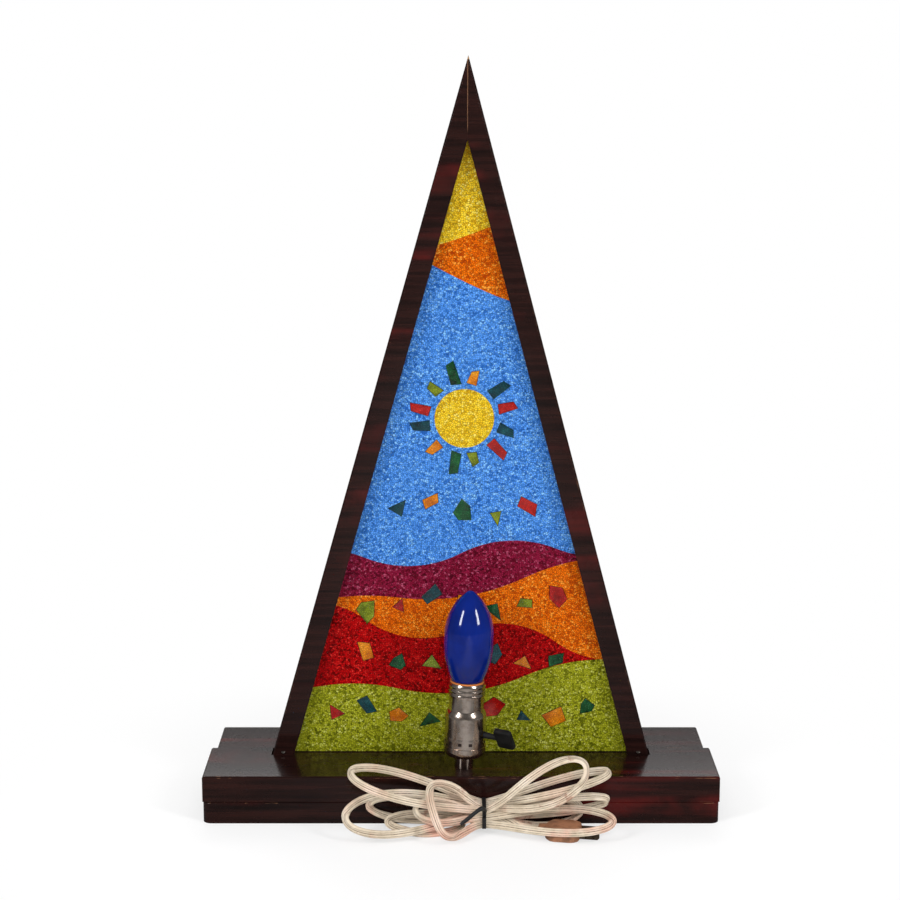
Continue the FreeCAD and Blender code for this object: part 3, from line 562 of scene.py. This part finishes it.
def crushed(name, tones):
    """Bonded grains of one colour, each cell with its own shade and a dark joint round it."""
    look = Look(name)
    deep, middle, light, fleck = (srgb(*tone) for tone in tones)
    per_metre = 1 / grain_size
    tone = look.parts(look.cells(per_metre, output="Color"))[0]
    joint = look.cells(per_metre, "DISTANCE_TO_EDGE")
    colour = look.ramp(tone, (0.05, deep), (0.3, middle), (0.8, light), (0.98, fleck))
    drift = look.noise(26.0, 3.0, 0.6)
    colour = look.blend(drift.between(0.35, 0.75) * 0.35, colour, middle)
    dark_joint = tuple(0.35 * part for part in deep)
    colour = look.blend((1 - joint.between(0.02, 0.16)) * 0.8, colour, dark_joint)
    relief = joint.between(0.0, 0.35)
    glow = look.add("ShaderNodeBsdfTranslucent", {}, {"Color": colour})
    body = look.principled(
        Base_Color=colour,
        Roughness=0.4,
        Normal=look.bump(relief, 0.0003, 0.4),
        Specular_IOR_Level=0.05,
    )
    return look.finish(look.add("ShaderNodeMixShader", {}, {0: 0.15, 1: body, 2: glow}))


# deep, middle and light grains, and the brightest flecks
grit_tones = {
    "grit_green": ((92, 96, 6), (164, 166, 28), (190, 190, 48), (218, 216, 104)),
    "grit_red": ((92, 0, 0), (178, 2, 6), (208, 8, 12), (232, 44, 36)),
    "grit_orange": ((182, 62, 0), (236, 106, 2), (250, 126, 10), (255, 172, 60)),
    "grit_plum": ((74, 0, 22), (136, 18, 50), (158, 30, 68), (192, 84, 116)),
    "grit_blue": ((38, 98, 190), (78, 146, 236), (102, 170, 252), (150, 208, 255)),
    "grit_yellow": ((204, 148, 14), (250, 206, 36), (255, 222, 60), (255, 236, 120)),
}
grit_looks = {name: crushed(name, tones) for name, tones in grit_tones.items()}
print("crushed-glass finishes", len(grit_looks))

# %% [markdown]
# ## The grains on the display side
# Here the glue is thin and every grain stands out of it. A Geometry Nodes tree scatters points over the
# faces that look towards the display side, at least one spacing apart, and puts a coarse ball on each. A
# random turn and a random stretch make the balls look broken. The tree ends in Realize Instances and Set
# Material, so that the grains become plain faces of the band.

# %% The tree that scatters the grains
facing_limit = 0.9
full_turn = (6.28, 6.28, 6.28)
smallest_grain = (0.75, 0.7, 0.75)
largest_grain = (1.3, 1.0, 1.3)
place_seed = 4
turn_seed = 1
size_seed = 2


def grain_tree(material):
    """Grains on the faces that look towards +Y, each turned and sized by chance."""
    tree = bpy.data.node_groups.new("grains_" + material.name, "GeometryNodeTree")
    tree.interface.new_socket("Geometry", in_out="INPUT", socket_type="NodeSocketGeometry")
    for size_name in ("Spacing", "Radius", "Density"):
        tree.interface.new_socket(size_name, in_out="INPUT", socket_type="NodeSocketFloat")
    tree.interface.new_socket("Geometry", in_out="OUTPUT", socket_type="NodeSocketGeometry")

    def add(kind, settings, links):
        node = tree.nodes.new(kind)
        for key, value in settings.items():
            setattr(node, key, value)
        for key, value in links.items():
            if isinstance(value, bpy.types.NodeSocket):
                tree.links.new(value, node.inputs[key])
            else:
                node.inputs[key].default_value = value
        return node

    start = add("NodeGroupInput", {}, {})
    way = add("GeometryNodeInputNormal", {}, {})
    facing = add("ShaderNodeVectorMath", {"operation": "DOT_PRODUCT"}, {0: way.outputs[0], 1: (0, 1, 0)})
    larger = {"data_type": "FLOAT", "operation": "GREATER_THAN"}
    front = add("FunctionNodeCompare", larger, {0: facing.outputs["Value"], 1: facing_limit})
    points = add(
        "GeometryNodeDistributePointsOnFaces",
        {"distribute_method": "POISSON"},
        {
            "Mesh": start.outputs[0],
            "Selection": front.outputs[0],
            "Distance Min": start.outputs[1],
            "Density Max": start.outputs[3],
            "Seed": place_seed,
        },
    )
    grain = add("GeometryNodeMeshIcoSphere", {}, {"Radius": start.outputs[2], "Subdivisions": 1})
    vector = {"data_type": "FLOAT_VECTOR"}
    turn = add("FunctionNodeRandomValue", vector, {1: full_turn, "Seed": turn_seed})
    stretch = {0: smallest_grain, 1: largest_grain, "Seed": size_seed}
    scale = add("FunctionNodeRandomValue", vector, stretch)
    placed = add(
        "GeometryNodeInstanceOnPoints",
        {},
        {
            "Points": points.outputs[0],
            "Instance": grain.outputs[0],
            "Rotation": turn.outputs[0],
            "Scale": scale.outputs[0],
        },
    )
    real = add("GeometryNodeRealizeInstances", {}, {0: placed.outputs[0]})
    joined = add("GeometryNodeJoinGeometry", {}, {})
    tree.links.new(start.outputs[0], joined.inputs[0])
    tree.links.new(real.outputs[0], joined.inputs[0])
    painted = add("GeometryNodeSetMaterial", {}, {"Geometry": joined.outputs[0], "Material": material})
    add("NodeGroupOutput", {}, {0: painted.outputs[0]})
    return tree


def set_inputs(modifier, values):
    """Gives a nodes modifier its sizes, each by its socket's identifier."""
    for item in modifier.node_group.interface.items_tree:
        if item.in_out == "INPUT" and item.name in values:
            modifier[item.identifier] = values[item.name]


grain_spacing = 1.75 * MM
grain_radius = 1.15 * MM
grain_sizes = {"Spacing": grain_spacing, "Radius": grain_radius, "Density": 1 / grain_spacing**2}
print("grains to a square centimetre, at most", round(grain_sizes["Density"] * 1e-4))

# %% [markdown]
# ## Bands of colour
# In the measured model each band is a slab as thick as its grains. Here the slab is lowered to the level of
# the glue, and the scattered grains make up the rest. The model also leaves a small clear margin between
# the grains and the legs, which would show as a bright line. So the rim of each band is moved outwards,
# under the legs: a corner at one leg goes square to that leg, and a corner at the apex goes away from both.

# %% Lower, widen and cover the bands
glue_front = 0.6 * MM
slab_front = 1.5 * MM
level_margin = 0.1 * MM
rim_shift = 0.9 * MM
rim_width = 1.2 * MM


def side_lines():
    """The sheet's two slanted edges: a point on each and its way inwards."""
    corners = [vertex.co for vertex in nodes["glass_sheet"].data.vertices]
    top = max(corner.z for corner in corners)
    tip = [corner.x for corner in corners if corner.z > top - 0.05 * MM]
    left = min(corners, key=lambda corner: corner.x)
    right = max(corners, key=lambda corner: corner.x)
    for foot, tip_x, sign in ((left, min(tip), 1), (right, max(tip), -1)):
        way = Vector((tip_x - foot.x, 0, top - foot.z)).normalized()
        yield foot.copy(), Vector((way.z, 0, -way.x)) * sign


edge_lines = list(side_lines())
rim_start = min((v.co - p).dot(w) for v in nodes["grit_red"].data.vertices for p, w in edge_lines)
rim_end = rim_start + rim_width
print("crushed glass starts", round(rim_start / MM, 2), "mm in from the sheet's edge")


def fit_band(band):
    """Lowers a band to the glue's level and moves its rim under the legs."""
    for vertex in band.data.vertices:
        if vertex.co.y > slab_front - level_margin:
            vertex.co.y = glue_front
        near = [inward for point, inward in edge_lines if (vertex.co - point).dot(inward) < rim_end]
        if len(near) == 1:
            vertex.co -= near[0] * rim_shift
        elif near:
            vertex.co -= (near[0] + near[1]) * rim_shift / (1 + near[0].dot(near[1]))


for node, material in grit_looks.items():
    band = dress(node, material, node)
    fit_band(band)
    modifier = band.modifiers.new("grains", "NODES")
    modifier.node_group = grain_tree(material)
    set_inputs(modifier, grain_sizes)
    apply_modifiers(band)
    print(node, "with its grains, faces", len(band.data.polygons))


# %% [markdown]
# ## Larger pieces of glass
# Broken slips of coloured glass lie among the grains and on top of them. They are deeper in colour than the
# grains, because they are thicker. Their broken edges look nearly black, because there one looks along the
# glass, so the bevel's faces get a near-black colour as painted shade. The grains under a slip show through
# it as a faint net.


# %% Slips of broken glass
def broken_glass(name, tones):
    """Thick coloured glass with a cloudy depth and the net of grains under it."""
    look = Look(name)
    deep, middle, light = (srgb(*tone) for tone in tones)
    cloud = look.noise(90.0, 4.0, 0.6)
    colour = look.ramp(cloud, (0.3, deep), (0.55, middle), (0.75, light))
    joint = look.cells(1 / grain_size, "DISTANCE_TO_EDGE")
    grains_under = (1 - joint.between(0.0, 0.3)) * 0.55
    colour = look.blend(grains_under, colour, tuple(0.4 * part for part in deep))
    bubbles = look.cells(900.0)
    glow = look.add("ShaderNodeBsdfTranslucent", {}, {"Color": colour})
    body = look.principled(
        Base_Color=colour,
        Roughness=0.12,
        Normal=look.bump(cloud + bubbles * 0.1, 0.0004, 0.5),
        Coat_Weight=0.5,
        Coat_Roughness=0.05,
    )
    return look.finish(look.add("ShaderNodeMixShader", {}, {0: 0.2, 1: body, 2: glow}))


# deep, middle and light parts of each glass
shard_tones = {
    "shards_red": ((130, 10, 6), (206, 24, 18), (232, 60, 36)),
    "shards_teal": ((4, 40, 50), (10, 74, 84), (30, 120, 124)),
    "shards_amber": ((190, 84, 0), (248, 148, 6), (255, 184, 50)),
    "shards_green": ((4, 46, 20), (14, 92, 46), (50, 138, 62)),
    "shards_olive": ((78, 90, 6), (144, 158, 20), (188, 194, 46)),
}
# painted shade: near-black tones for the bevels' faces, where the glass is seen edge-on
painted_edge_shade_tones = ((10, 16, 14), (30, 34, 26), (60, 54, 40))
shard_edge = 0.45 * MM
broken_edge = broken_glass("broken_edge", painted_edge_shade_tones)
for node, tones in shard_tones.items():
    dress(node, broken_glass(node, tones), node, shard_edge, broken_edge)

# %% [markdown]
# ## The cord
# Two wires side by side in one ivory jacket: a flat cord, 6.6 by 3.6 mm. It bends easily only over its thin
# side, so its width always lies across the bend. The route is one smooth curve: out of the groove under the
# base, through eleven loops that a tie gathers, and on to the plug. Each loop swells from the tie to its
# tip. A loop is given by its tip and its place in the tie, and a formula fills in its corners, because a
# hundred corners set by hand would be hard to change. A quadratic NURBS curve rounds them off.

# %% The cord's route
cord_width = 6.6 * MM
cord_thick = 3.6 * MM
rear_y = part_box("lower_board")[0].y / MM
# the tie's place, and how its strands stand in columns and rows, in millimetres
tie_x = 19.0
waist_half = 6.5
waist_pitch = 6.0
waist_behind = 5.8
waist_low = 8.9
loop_point_count = 9
# the greatest value of the swell's formula, so that a width is a real width
swell_peak = 0.77
# side, reach, tip's distance behind the base and height, plane's lean, width, column and row at the tie
loops = (
    (-1, 81.5, 20.5, 10.0, 205, 16.5, 1, 0),
    (1, 83.0, 6.0, 14.5, 261, 21.0, 0, 1),
    (-1, 98.0, 5.0, 18.0, 94, 20.0, 0, 0),
    (1, 104.5, 20.5, 29.0, 301, 17.0, 1, 1),
    (-1, 117.0, 39.0, 21.0, 217, 40.0, 1, 2),
    (1, 105.0, 20.5, 53.0, 189, 22.0, 0, 2),
    (-1, 112.5, 31.0, 56.5, 27, 28.0, 3, 2),
    (1, 85.5, 35.5, 60.5, 84, 37.5, 2, 2),
    (-1, 47.0, 44.0, 32.0, 45, 45.5, 3, 0),
    (1, 108.0, 36.0, 16.5, 191, 36.0, 3, 1),
    (-1, 58.0, 33.5, 25.5, 240, 18.5, 2, 1),
)
lead_points = ((1.1, 0, 2.8), (1.1, 8.5, 2.8), (-1.9, 17.5, 2.75), (-9, 24.5, 2.7), (-19, 27.8, 2.7))
hank_start = (-30, 29.4, 2.7)
tail_points = ((38, 16.5, 9.5), (51, 22.5, 4.9), (64, 25, 4.9))
# the loop in front of the tie leans over: how far some of its corners stand to the side, by loop and step
hand_shift = {(8, 3): -6.0, (8, 5): 5.0, (8, 6): 3.0}


def behind_base(x, distance, z):
    """A place behind the base's rear face."""
    return Vector((x, rear_y - distance, z))


def hank_route():
    """Corners of the loops, worked out in millimetres: each swells from the tie to its tip and comes back."""
    start = behind_base(*hank_start)
    points = [start]
    place = Vector((0, start.y, start.z))
    # the first loop is joined further out, because the cord comes to it along the floor
    first_step = loop_point_count // 3
    for number, (side, reach, distance, height, lean, width, column, row) in enumerate(loops):
        tip = behind_base(0, distance, height)
        next_place = behind_base(0, waist_behind + waist_pitch * column, waist_low + waist_pitch * row)
        mean = (place + next_place) / 2
        swell = Vector((0, math.cos(math.radians(lean)), math.sin(math.radians(lean)))) * width / 2
        for step in range(first_step, loop_point_count - 1):
            turn = 2 * math.pi * step / loop_point_count
            out = (1 - math.cos(turn)) / 2
            strand = place if 2 * step < loop_point_count else next_place
            point = mean + (tip - mean) * out + (strand - mean) * (1 - out)
            point += swell * (math.sin(turn) * math.sin(turn / 2) / swell_peak)
            point.x = tie_x + side * (waist_half + (reach - waist_half) * out)
            point.x += hand_shift.get((number, step), 0)
            points.append(point)
        points.append(next_place + Vector((tie_x + side * waist_half, 0, 0)))
        points.append(next_place + Vector((tie_x - side * waist_half, 0, 0)))
        place = next_place
        first_step = 2
    return points


lead = [behind_base(*p) for p in lead_points]
tail = [behind_base(*p) for p in tail_points]
route = [point * MM for point in lead + hank_route() + tail]


def curve_mesh(name, points, radii, settings):
    """The mesh of a quadratic NURBS curve with these corners and a radius at each."""
    curve = bpy.data.curves.new(name, "CURVE")
    curve.dimensions = "3D"
    for key, value in settings.items():
        setattr(curve, key, value)
    spline = curve.splines.new("NURBS")
    spline.points.add(len(points) - 1)
    for corner, point, radius in zip(spline.points, points, radii):
        corner.co = (*point, 1)
        corner.radius = radius
    spline.order_u = 3
    spline.use_endpoint_u = True
    holder = bpy.data.objects.new(name, curve)
    bpy.context.scene.collection.objects.link(holder)
    graph = bpy.context.evaluated_depsgraph_get()
    graph.update()
    mesh = bpy.data.meshes.new_from_object(holder.evaluated_get(graph))
    bpy.data.objects.remove(holder)
    return mesh


points_per_corner = 12
line_mesh = curve_mesh("cord_route", route, [1.0] * len(route), {"resolution_u": points_per_corner})
centre = np.array([v.co[:] for v in line_mesh.vertices])
bpy.data.meshes.remove(line_mesh)
steps = np.linalg.norm(np.diff(centre, axis=0), axis=1)
centre = centre[np.concatenate([[True], steps > 1e-7])]
steps = np.linalg.norm(np.diff(centre, axis=0), axis=1)

# %% [markdown]
# ## Which way the flat cord lies
# A curve's own bevel would turn the flat section freely, so the section is swept by hand. At each point the
# direction across the cord is a sum of pulls: towards lying flat on its bend, towards turning its broad
# side to the camera, as the photograph's loops do, and level where it lies on the floor or enters the base
# and the plug. The sum is then smoothed along the cord, so that the jacket never twists sharply.


# %% Directions across the cord
def smoothed(values, along, reach):
    """Weighted mean of a direction field along the cord."""
    out = np.zeros_like(values)
    for k, here in enumerate(along):
        low, high = np.searchsorted(along, (here - 3 * reach, here + 3 * reach))
        weight = np.exp(-0.5 * ((along[low:high] - here) / reach) ** 2)
        out[k] = (values[low:high] * weight[:, None]).sum(0)
    return out


along = np.concatenate([[0], np.cumsum(steps)])
tangent = np.gradient(centre, along, axis=0)
tangent /= np.linalg.norm(tangent, axis=1)[:, None]
bend = np.gradient(tangent, along, axis=0)
over_bend = np.cross(tangent, bend)
facing = np.cross(tangent, centre - np.array(camera_place))
facing /= np.linalg.norm(facing, axis=1)[:, None]
level = np.cross(tangent, (0, 0, 1.0))
level /= np.maximum(np.linalg.norm(level, axis=1)[:, None], 1e-6)


def one_way(field):
    """Flips directions so that each runs the same way as the one before it."""
    for k in range(1, len(field)):
        if np.dot(field[k], field[k - 1]) < 0:
            field[k] *= -1
    return field


def same_side(field, guide):
    """The field, each direction flipped to lie on the guide's side."""
    return field * np.sign((field * guide).sum(1))[:, None]


# the pulls, beside a bend's own pull of one over its radius in metres
facing_pull = 34.0
floor_pull = 90.0
end_pull = 200.0
floor_level = 4.2 * MM
floor_fade = 1.2 * MM
exit_fade = 12 * MM
plug_fade = 14 * MM
twist_length = 6 * MM

across = one_way(facing.copy()) * facing_pull
across += same_side(over_bend, across)
near_floor = np.clip((floor_level - centre[:, 2]) / floor_fade, 0, 1)
near_ends = np.exp(-along / exit_fade) + np.exp(-(along[-1] - along) / plug_fade)
across += same_side(level, across) * (near_floor * floor_pull + near_ends * end_pull)[:, None]
across = one_way(smoothed(across, along, twist_length))
across -= tangent * (across * tangent).sum(1)[:, None]
across /= np.linalg.norm(across, axis=1)[:, None]
over = np.cross(tangent, across)
tightest = 1 / np.linalg.norm(bend, axis=1).max()
print("tightest bend of the smooth line", round(tightest / MM, 1), "mm in radius")

# %% [markdown]
# ## The cord's section and jacket
# The section is an oblong with round corners and a valley along its middle. It is placed at every point of
# the line and the rings are joined by faces. Each point keeps its place across the width in an attribute,
# so that the jacket's finish can follow the cord: it is darker along the valley and along a seam on each
# wire, and fine ribs run lengthwise. Pink stains and a few rust marks show its age, and a painted pink tint
# of light is added near the floor.

# %% The section and the rings
section_points = 32
valley_depth = 0.34
valley_width = 0.7 * MM
# powers below one make an ellipse squarer at its corners
side_power = 0.75
top_power = 0.62


def flat_section(count):
    """Outline of two wires side by side with a valley between, in width and thickness."""
    outline = []
    for k in range(count):
        angle = 2 * math.pi * (k + 0.5) / count
        x = math.copysign(abs(math.cos(angle)) ** side_power, math.cos(angle))
        y = math.copysign(abs(math.sin(angle)) ** top_power, math.sin(angle))
        wide = cord_width / 2 * x
        dip = valley_depth * math.exp(-((wide / valley_width) ** 2))
        outline.append((wide, cord_thick / 2 * y * (1 - dip)))
    return np.array(outline)


section = flat_section(section_points)
ring = (
    centre[:, None, :]
    + across[:, None, :] * section[None, :, 0, None]
    + over[:, None, :] * section[None, :, 1, None]
)


def tube_mesh(name, rings, across_share):
    """Closed tube through rings of points, with flat ends; it keeps each point's place across its width."""
    count, sides, _ = rings.shape
    vertices = rings.reshape(-1, 3)
    faces = []
    for k in range(count - 1):
        for j in range(sides):
            a = k * sides + j
            b = k * sides + (j + 1) % sides
            faces.append((a, b, b + sides, a + sides))
    faces.append(tuple(range(sides))[::-1])
    faces.append(tuple(range((count - 1) * sides, count * sides)))
    mesh = bpy.data.meshes.new(name)
    mesh.from_pydata([tuple(v) for v in vertices], [], faces)
    place = mesh.attributes.new("across", "FLOAT", "POINT")
    place.data.foreach_set("value", np.tile(across_share, count))
    work = bmesh.new()
    work.from_mesh(mesh)
    bmesh.ops.recalc_face_normals(work, faces=work.faces)
    work.to_mesh(mesh)
    work.free()
    return mesh


# %% The jacket's finish, and the cord
def jacket():
    """Ivory, darker in the valley and seams, pink stains, a painted tint near the floor and a few rust marks.
    """
    look = Look("cord_jacket")
    cloud = look.noise(70.0, 4.0, 0.6)
    fine = look.noise(900.0, 3.0, 0.75)
    height = look.parts()[2]
    place = look.add("ShaderNodeAttribute", {"attribute_name": "across"}, {}, "Fac").size()
    grey = srgb(190, 174, 150)
    ivory = srgb(212, 197, 174)
    pale = srgb(228, 216, 198)
    tone = look.ramp(cloud, (0.3, grey), (0.5, ivory), (0.7, pale))
    stain = look.noise(30.0, 3.0, 0.5, look.stretched((1, 1, 1), shift=(0.3, 0.1, 0)))
    # pink stains everywhere, with more of the same pink near the floor as a painted tint of light
    low = 1 - height.between(4 * MM, 30 * MM)
    tone = look.blend(stain.between(0.46, 0.64) * (low * 0.5 + 0.25), tone, srgb(216, 158, 138))
    rust = look.noise(48.0, 4.0, 0.7, look.stretched((1, 1, 1), shift=(0.7, 0.4, 0.2)))
    tone = look.blend(rust.between(0.62, 0.68) * 0.55, tone, srgb(140, 74, 52))
    # darker along the valley and along a seam on each wire, in patches
    line_patches = look.noise(420.0, 3.0, 0.8).between(0.3, 0.6)
    valley = 1 - place.between(0.04, 0.12)
    seam = 1 - (place - 0.55).size().between(0.03, 0.09)
    line = valley.most(seam * 0.7) * (line_patches * 0.5 + 0.5)
    tone = look.blend(line, tone, srgb(86, 64, 48))
    rib = (place * 40.0).cosine()
    shader = look.principled(
        Base_Color=tone,
        Roughness=0.5 + fine * 0.12,
        Normal=look.bump(rib * 0.4 + fine * 0.6, 0.00025, 0.7),
        Specular_IOR_Level=0.3,
    )
    return look.finish(shader)


cord_corner = math.radians(50)
cord_look = jacket()
cord_mesh = tube_mesh("cord", ring, section[:, 0] / (cord_width / 2))
cord_mesh.materials.append(cord_look)
cord = bpy.data.objects.new("cord", cord_mesh)
bpy.context.scene.collection.objects.link(cord)
cord.data.shade_smooth()
cord.data.set_sharp_from_angle(angle=cord_corner)
print("cord faces", len(cord.data.polygons))
dress("cord_inside", cord_look, "cord_ivory")

# %% [markdown]
# ## The wire tie
# A black plastic-covered wire holds the hank. Its band is the measured one. The loose end was twisted by
# hand and hangs down over the loops, so it is drawn here as a bent tube of uneven thickness. The measured
# piece ends in a plain tail, which a plane cuts off before the bent one is added to the same mesh.

# %% The tie's loose end
# corners of the loose end's line and the wire's radius at each, in millimetres
tie_end = ((19.5, -91, 21), (18.5, -96.5, 27), (12, -98.5, 23.5), (5.5, -101, 18.5), (-0.5, -102, 14))
tie_end_radius = (1.7, 2.1, 1.5, 1.9, 1.3)
tie_edge = 0.25 * MM
tie_corner = math.radians(40)
band_half = 1.7

tie = dress("cord_tie", tie_plastic, "tie_black", tie_edge)
band_side = (tie_x - band_half) * MM
tail_corners = [Vector(point) * MM for point in tie_end]
wire_settings = {"bevel_depth": MM, "bevel_resolution": 3, "use_fill_caps": True}
bent_tail = curve_mesh("tie_end", tail_corners, tie_end_radius, wire_settings)
work = bmesh.new()
work.from_mesh(tie.data)
cut = bmesh.ops.bisect_plane(
    work,
    geom=work.verts[:] + work.edges[:] + work.faces[:],
    plane_co=(band_side, 0, 0),
    plane_no=(-1, 0, 0),
    clear_outer=True,
)
rim = [item for item in cut["geom_cut"] if isinstance(item, bmesh.types.BMEdge)]
bmesh.ops.holes_fill(work, edges=rim)
work.from_mesh(bent_tail)
bmesh.ops.recalc_face_normals(work, faces=work.faces)
work.to_mesh(tie.data)
work.free()
tie.data.shade_smooth()
tie.data.set_sharp_from_angle(angle=tie_corner)
print("tie faces", len(tie.data.polygons))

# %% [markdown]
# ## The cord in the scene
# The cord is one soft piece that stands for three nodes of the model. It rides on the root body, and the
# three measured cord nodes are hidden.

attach(cord, "root")
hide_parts("cord_lead", "cord_hank", "cord_tail")
tuple(route[0])
[tuple(p) for p in centre]

# %% [markdown]
# ## Floor
# The floor is one large plane. Near the lamp it is a pale matt surface that keeps the shadow. For the
# camera alone it fades to plain white further out, so no horizon shows, and no extra light falls on the
# lamp for it. In reflections it is mostly dark, and least so in the middle, where the lampholder's metal
# mirrors it.


# %% The floor
def plain_floor():
    """Pale and matt, darker in reflections, and plain white to the camera further out."""
    whiteness = 0.58
    white_starts = 0.2
    white_ends = 0.42
    look = Look("floor_white")
    seen = look.add("ShaderNodeLightPath", {}, {}, "Is Camera Ray")
    mirrored = look.add("ShaderNodeLightPath", {}, {}, "Is Glossy Ray")
    x, y, _ = look.parts()
    distance = (x**2 + y**2) ** 0.5
    matt = look.add("ShaderNodeBsdfDiffuse", {}, {"Color": (0.9, 0.9, 0.9, 1)})
    dark = look.add("ShaderNodeBsdfDiffuse", {}, {"Color": (0.12, 0.12, 0.12, 1)})
    white = look.add("ShaderNodeEmission", {}, {"Color": (1, 1, 1, 1), "Strength": 1.0})
    shade = x.size().between(0.03, 0.22) * 0.3 + 0.68
    ground = look.add("ShaderNodeMixShader", {}, {0: mirrored * shade, 1: matt, 2: dark})
    lift = seen * (distance.between(white_starts, white_ends) * (1 - whiteness) + whiteness)
    return look.finish(look.add("ShaderNodeMixShader", {}, {0: lift, 1: ground, 2: white}))


floor_half = 6.0
floor_corners = [(-1, -1, 0), (1, -1, 0), (1, 1, 0), (-1, 1, 0)]
floor_mesh = bpy.data.meshes.new("floor")
floor_mesh.from_pydata([(x * floor_half, y * floor_half, z) for x, y, z in floor_corners], [], [(0, 1, 2, 3)])
floor_mesh.materials.append(plain_floor())
floor = bpy.data.objects.new("floor", floor_mesh)
bpy.context.scene.collection.objects.link(floor)
floor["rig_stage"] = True
print("floor", 2 * floor_half, "m wide")

# %% [markdown]
# ## Light
# Two tall soft lamps stand at the sides, as for a catalogue picture, and their reflections are the two
# bright streaks on the bulb. A weak fill from the front keeps out of reflections, and one lamp behind
# lights the panel from the display side. The world is white to the camera, dim in reflections, and even for
# everything else.


# %% World and lamps
def room_light(ambient, reflected):
    """World light: white to the camera, dim in reflections, and even for everything else."""
    world = bpy.data.worlds.new("white_room")
    bpy.context.scene.world = world
    world.use_nodes = True
    tree = world.node_tree
    tree.nodes.clear()
    path = tree.nodes.new("ShaderNodeLightPath")
    chosen = None
    for ray, strength in ((None, ambient), ("Is Glossy Ray", reflected), ("Is Camera Ray", 1.0)):
        glow = tree.nodes.new("ShaderNodeBackground")
        glow.inputs[0].default_value = (1, 1, 1, 1)
        glow.inputs[1].default_value = strength
        if ray is None:
            chosen = glow
            continue
        mix = tree.nodes.new("ShaderNodeMixShader")
        tree.links.new(path.outputs[ray], mix.inputs[0])
        tree.links.new(chosen.outputs[0], mix.inputs[1])
        tree.links.new(glow.outputs[0], mix.inputs[2])
        chosen = mix
    out = tree.nodes.new("ShaderNodeOutputWorld")
    tree.links.new(chosen.outputs[0], out.inputs[0])


def soft_lamp(name, place, target, size, power, mirrored=True):
    """A rectangular lamp that looks at a target; one that isn't mirrored stays out of reflections."""
    light = bpy.data.lights.new(name, "AREA")
    light.shape = "RECTANGLE"
    light.size, light.size_y = size
    light.energy = power
    lamp = bpy.data.objects.new(name, light)
    lamp.location = place
    lamp.rotation_euler = (Vector(target) - Vector(place)).to_track_quat("-Z", "Y").to_euler()
    lamp.visible_glossy = mirrored
    bpy.context.scene.collection.objects.link(lamp)
    print(name, power, "W")


room_light(ambient=0.52, reflected=0.1)
tall = (0.34, 1.0)
soft_lamp("left_lamp", (-1.3, -1.2, 1.1), (0, 0, 0.25), tall, 19)
soft_lamp("right_lamp", (1.3, -1.2, 1.1), (0, 0, 0.25), tall, 19)
soft_lamp("front_fill", (0, -2.4, 1.0), (0, 0, 0.3), (1.4, 1.4), 14, mirrored=False)
soft_lamp("back_lamp", (0, 1.8, 1.4), (0, 0, 0.3), (1.6, 1.2), 18)

# %% [markdown]
# ## Finish
# The model's size is taken again after the dressing, beside the size before it.

# %% Finish
size_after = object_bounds()
plain = [[list(map(float, corner)) for corner in box] for box in (size_before, size_after)]
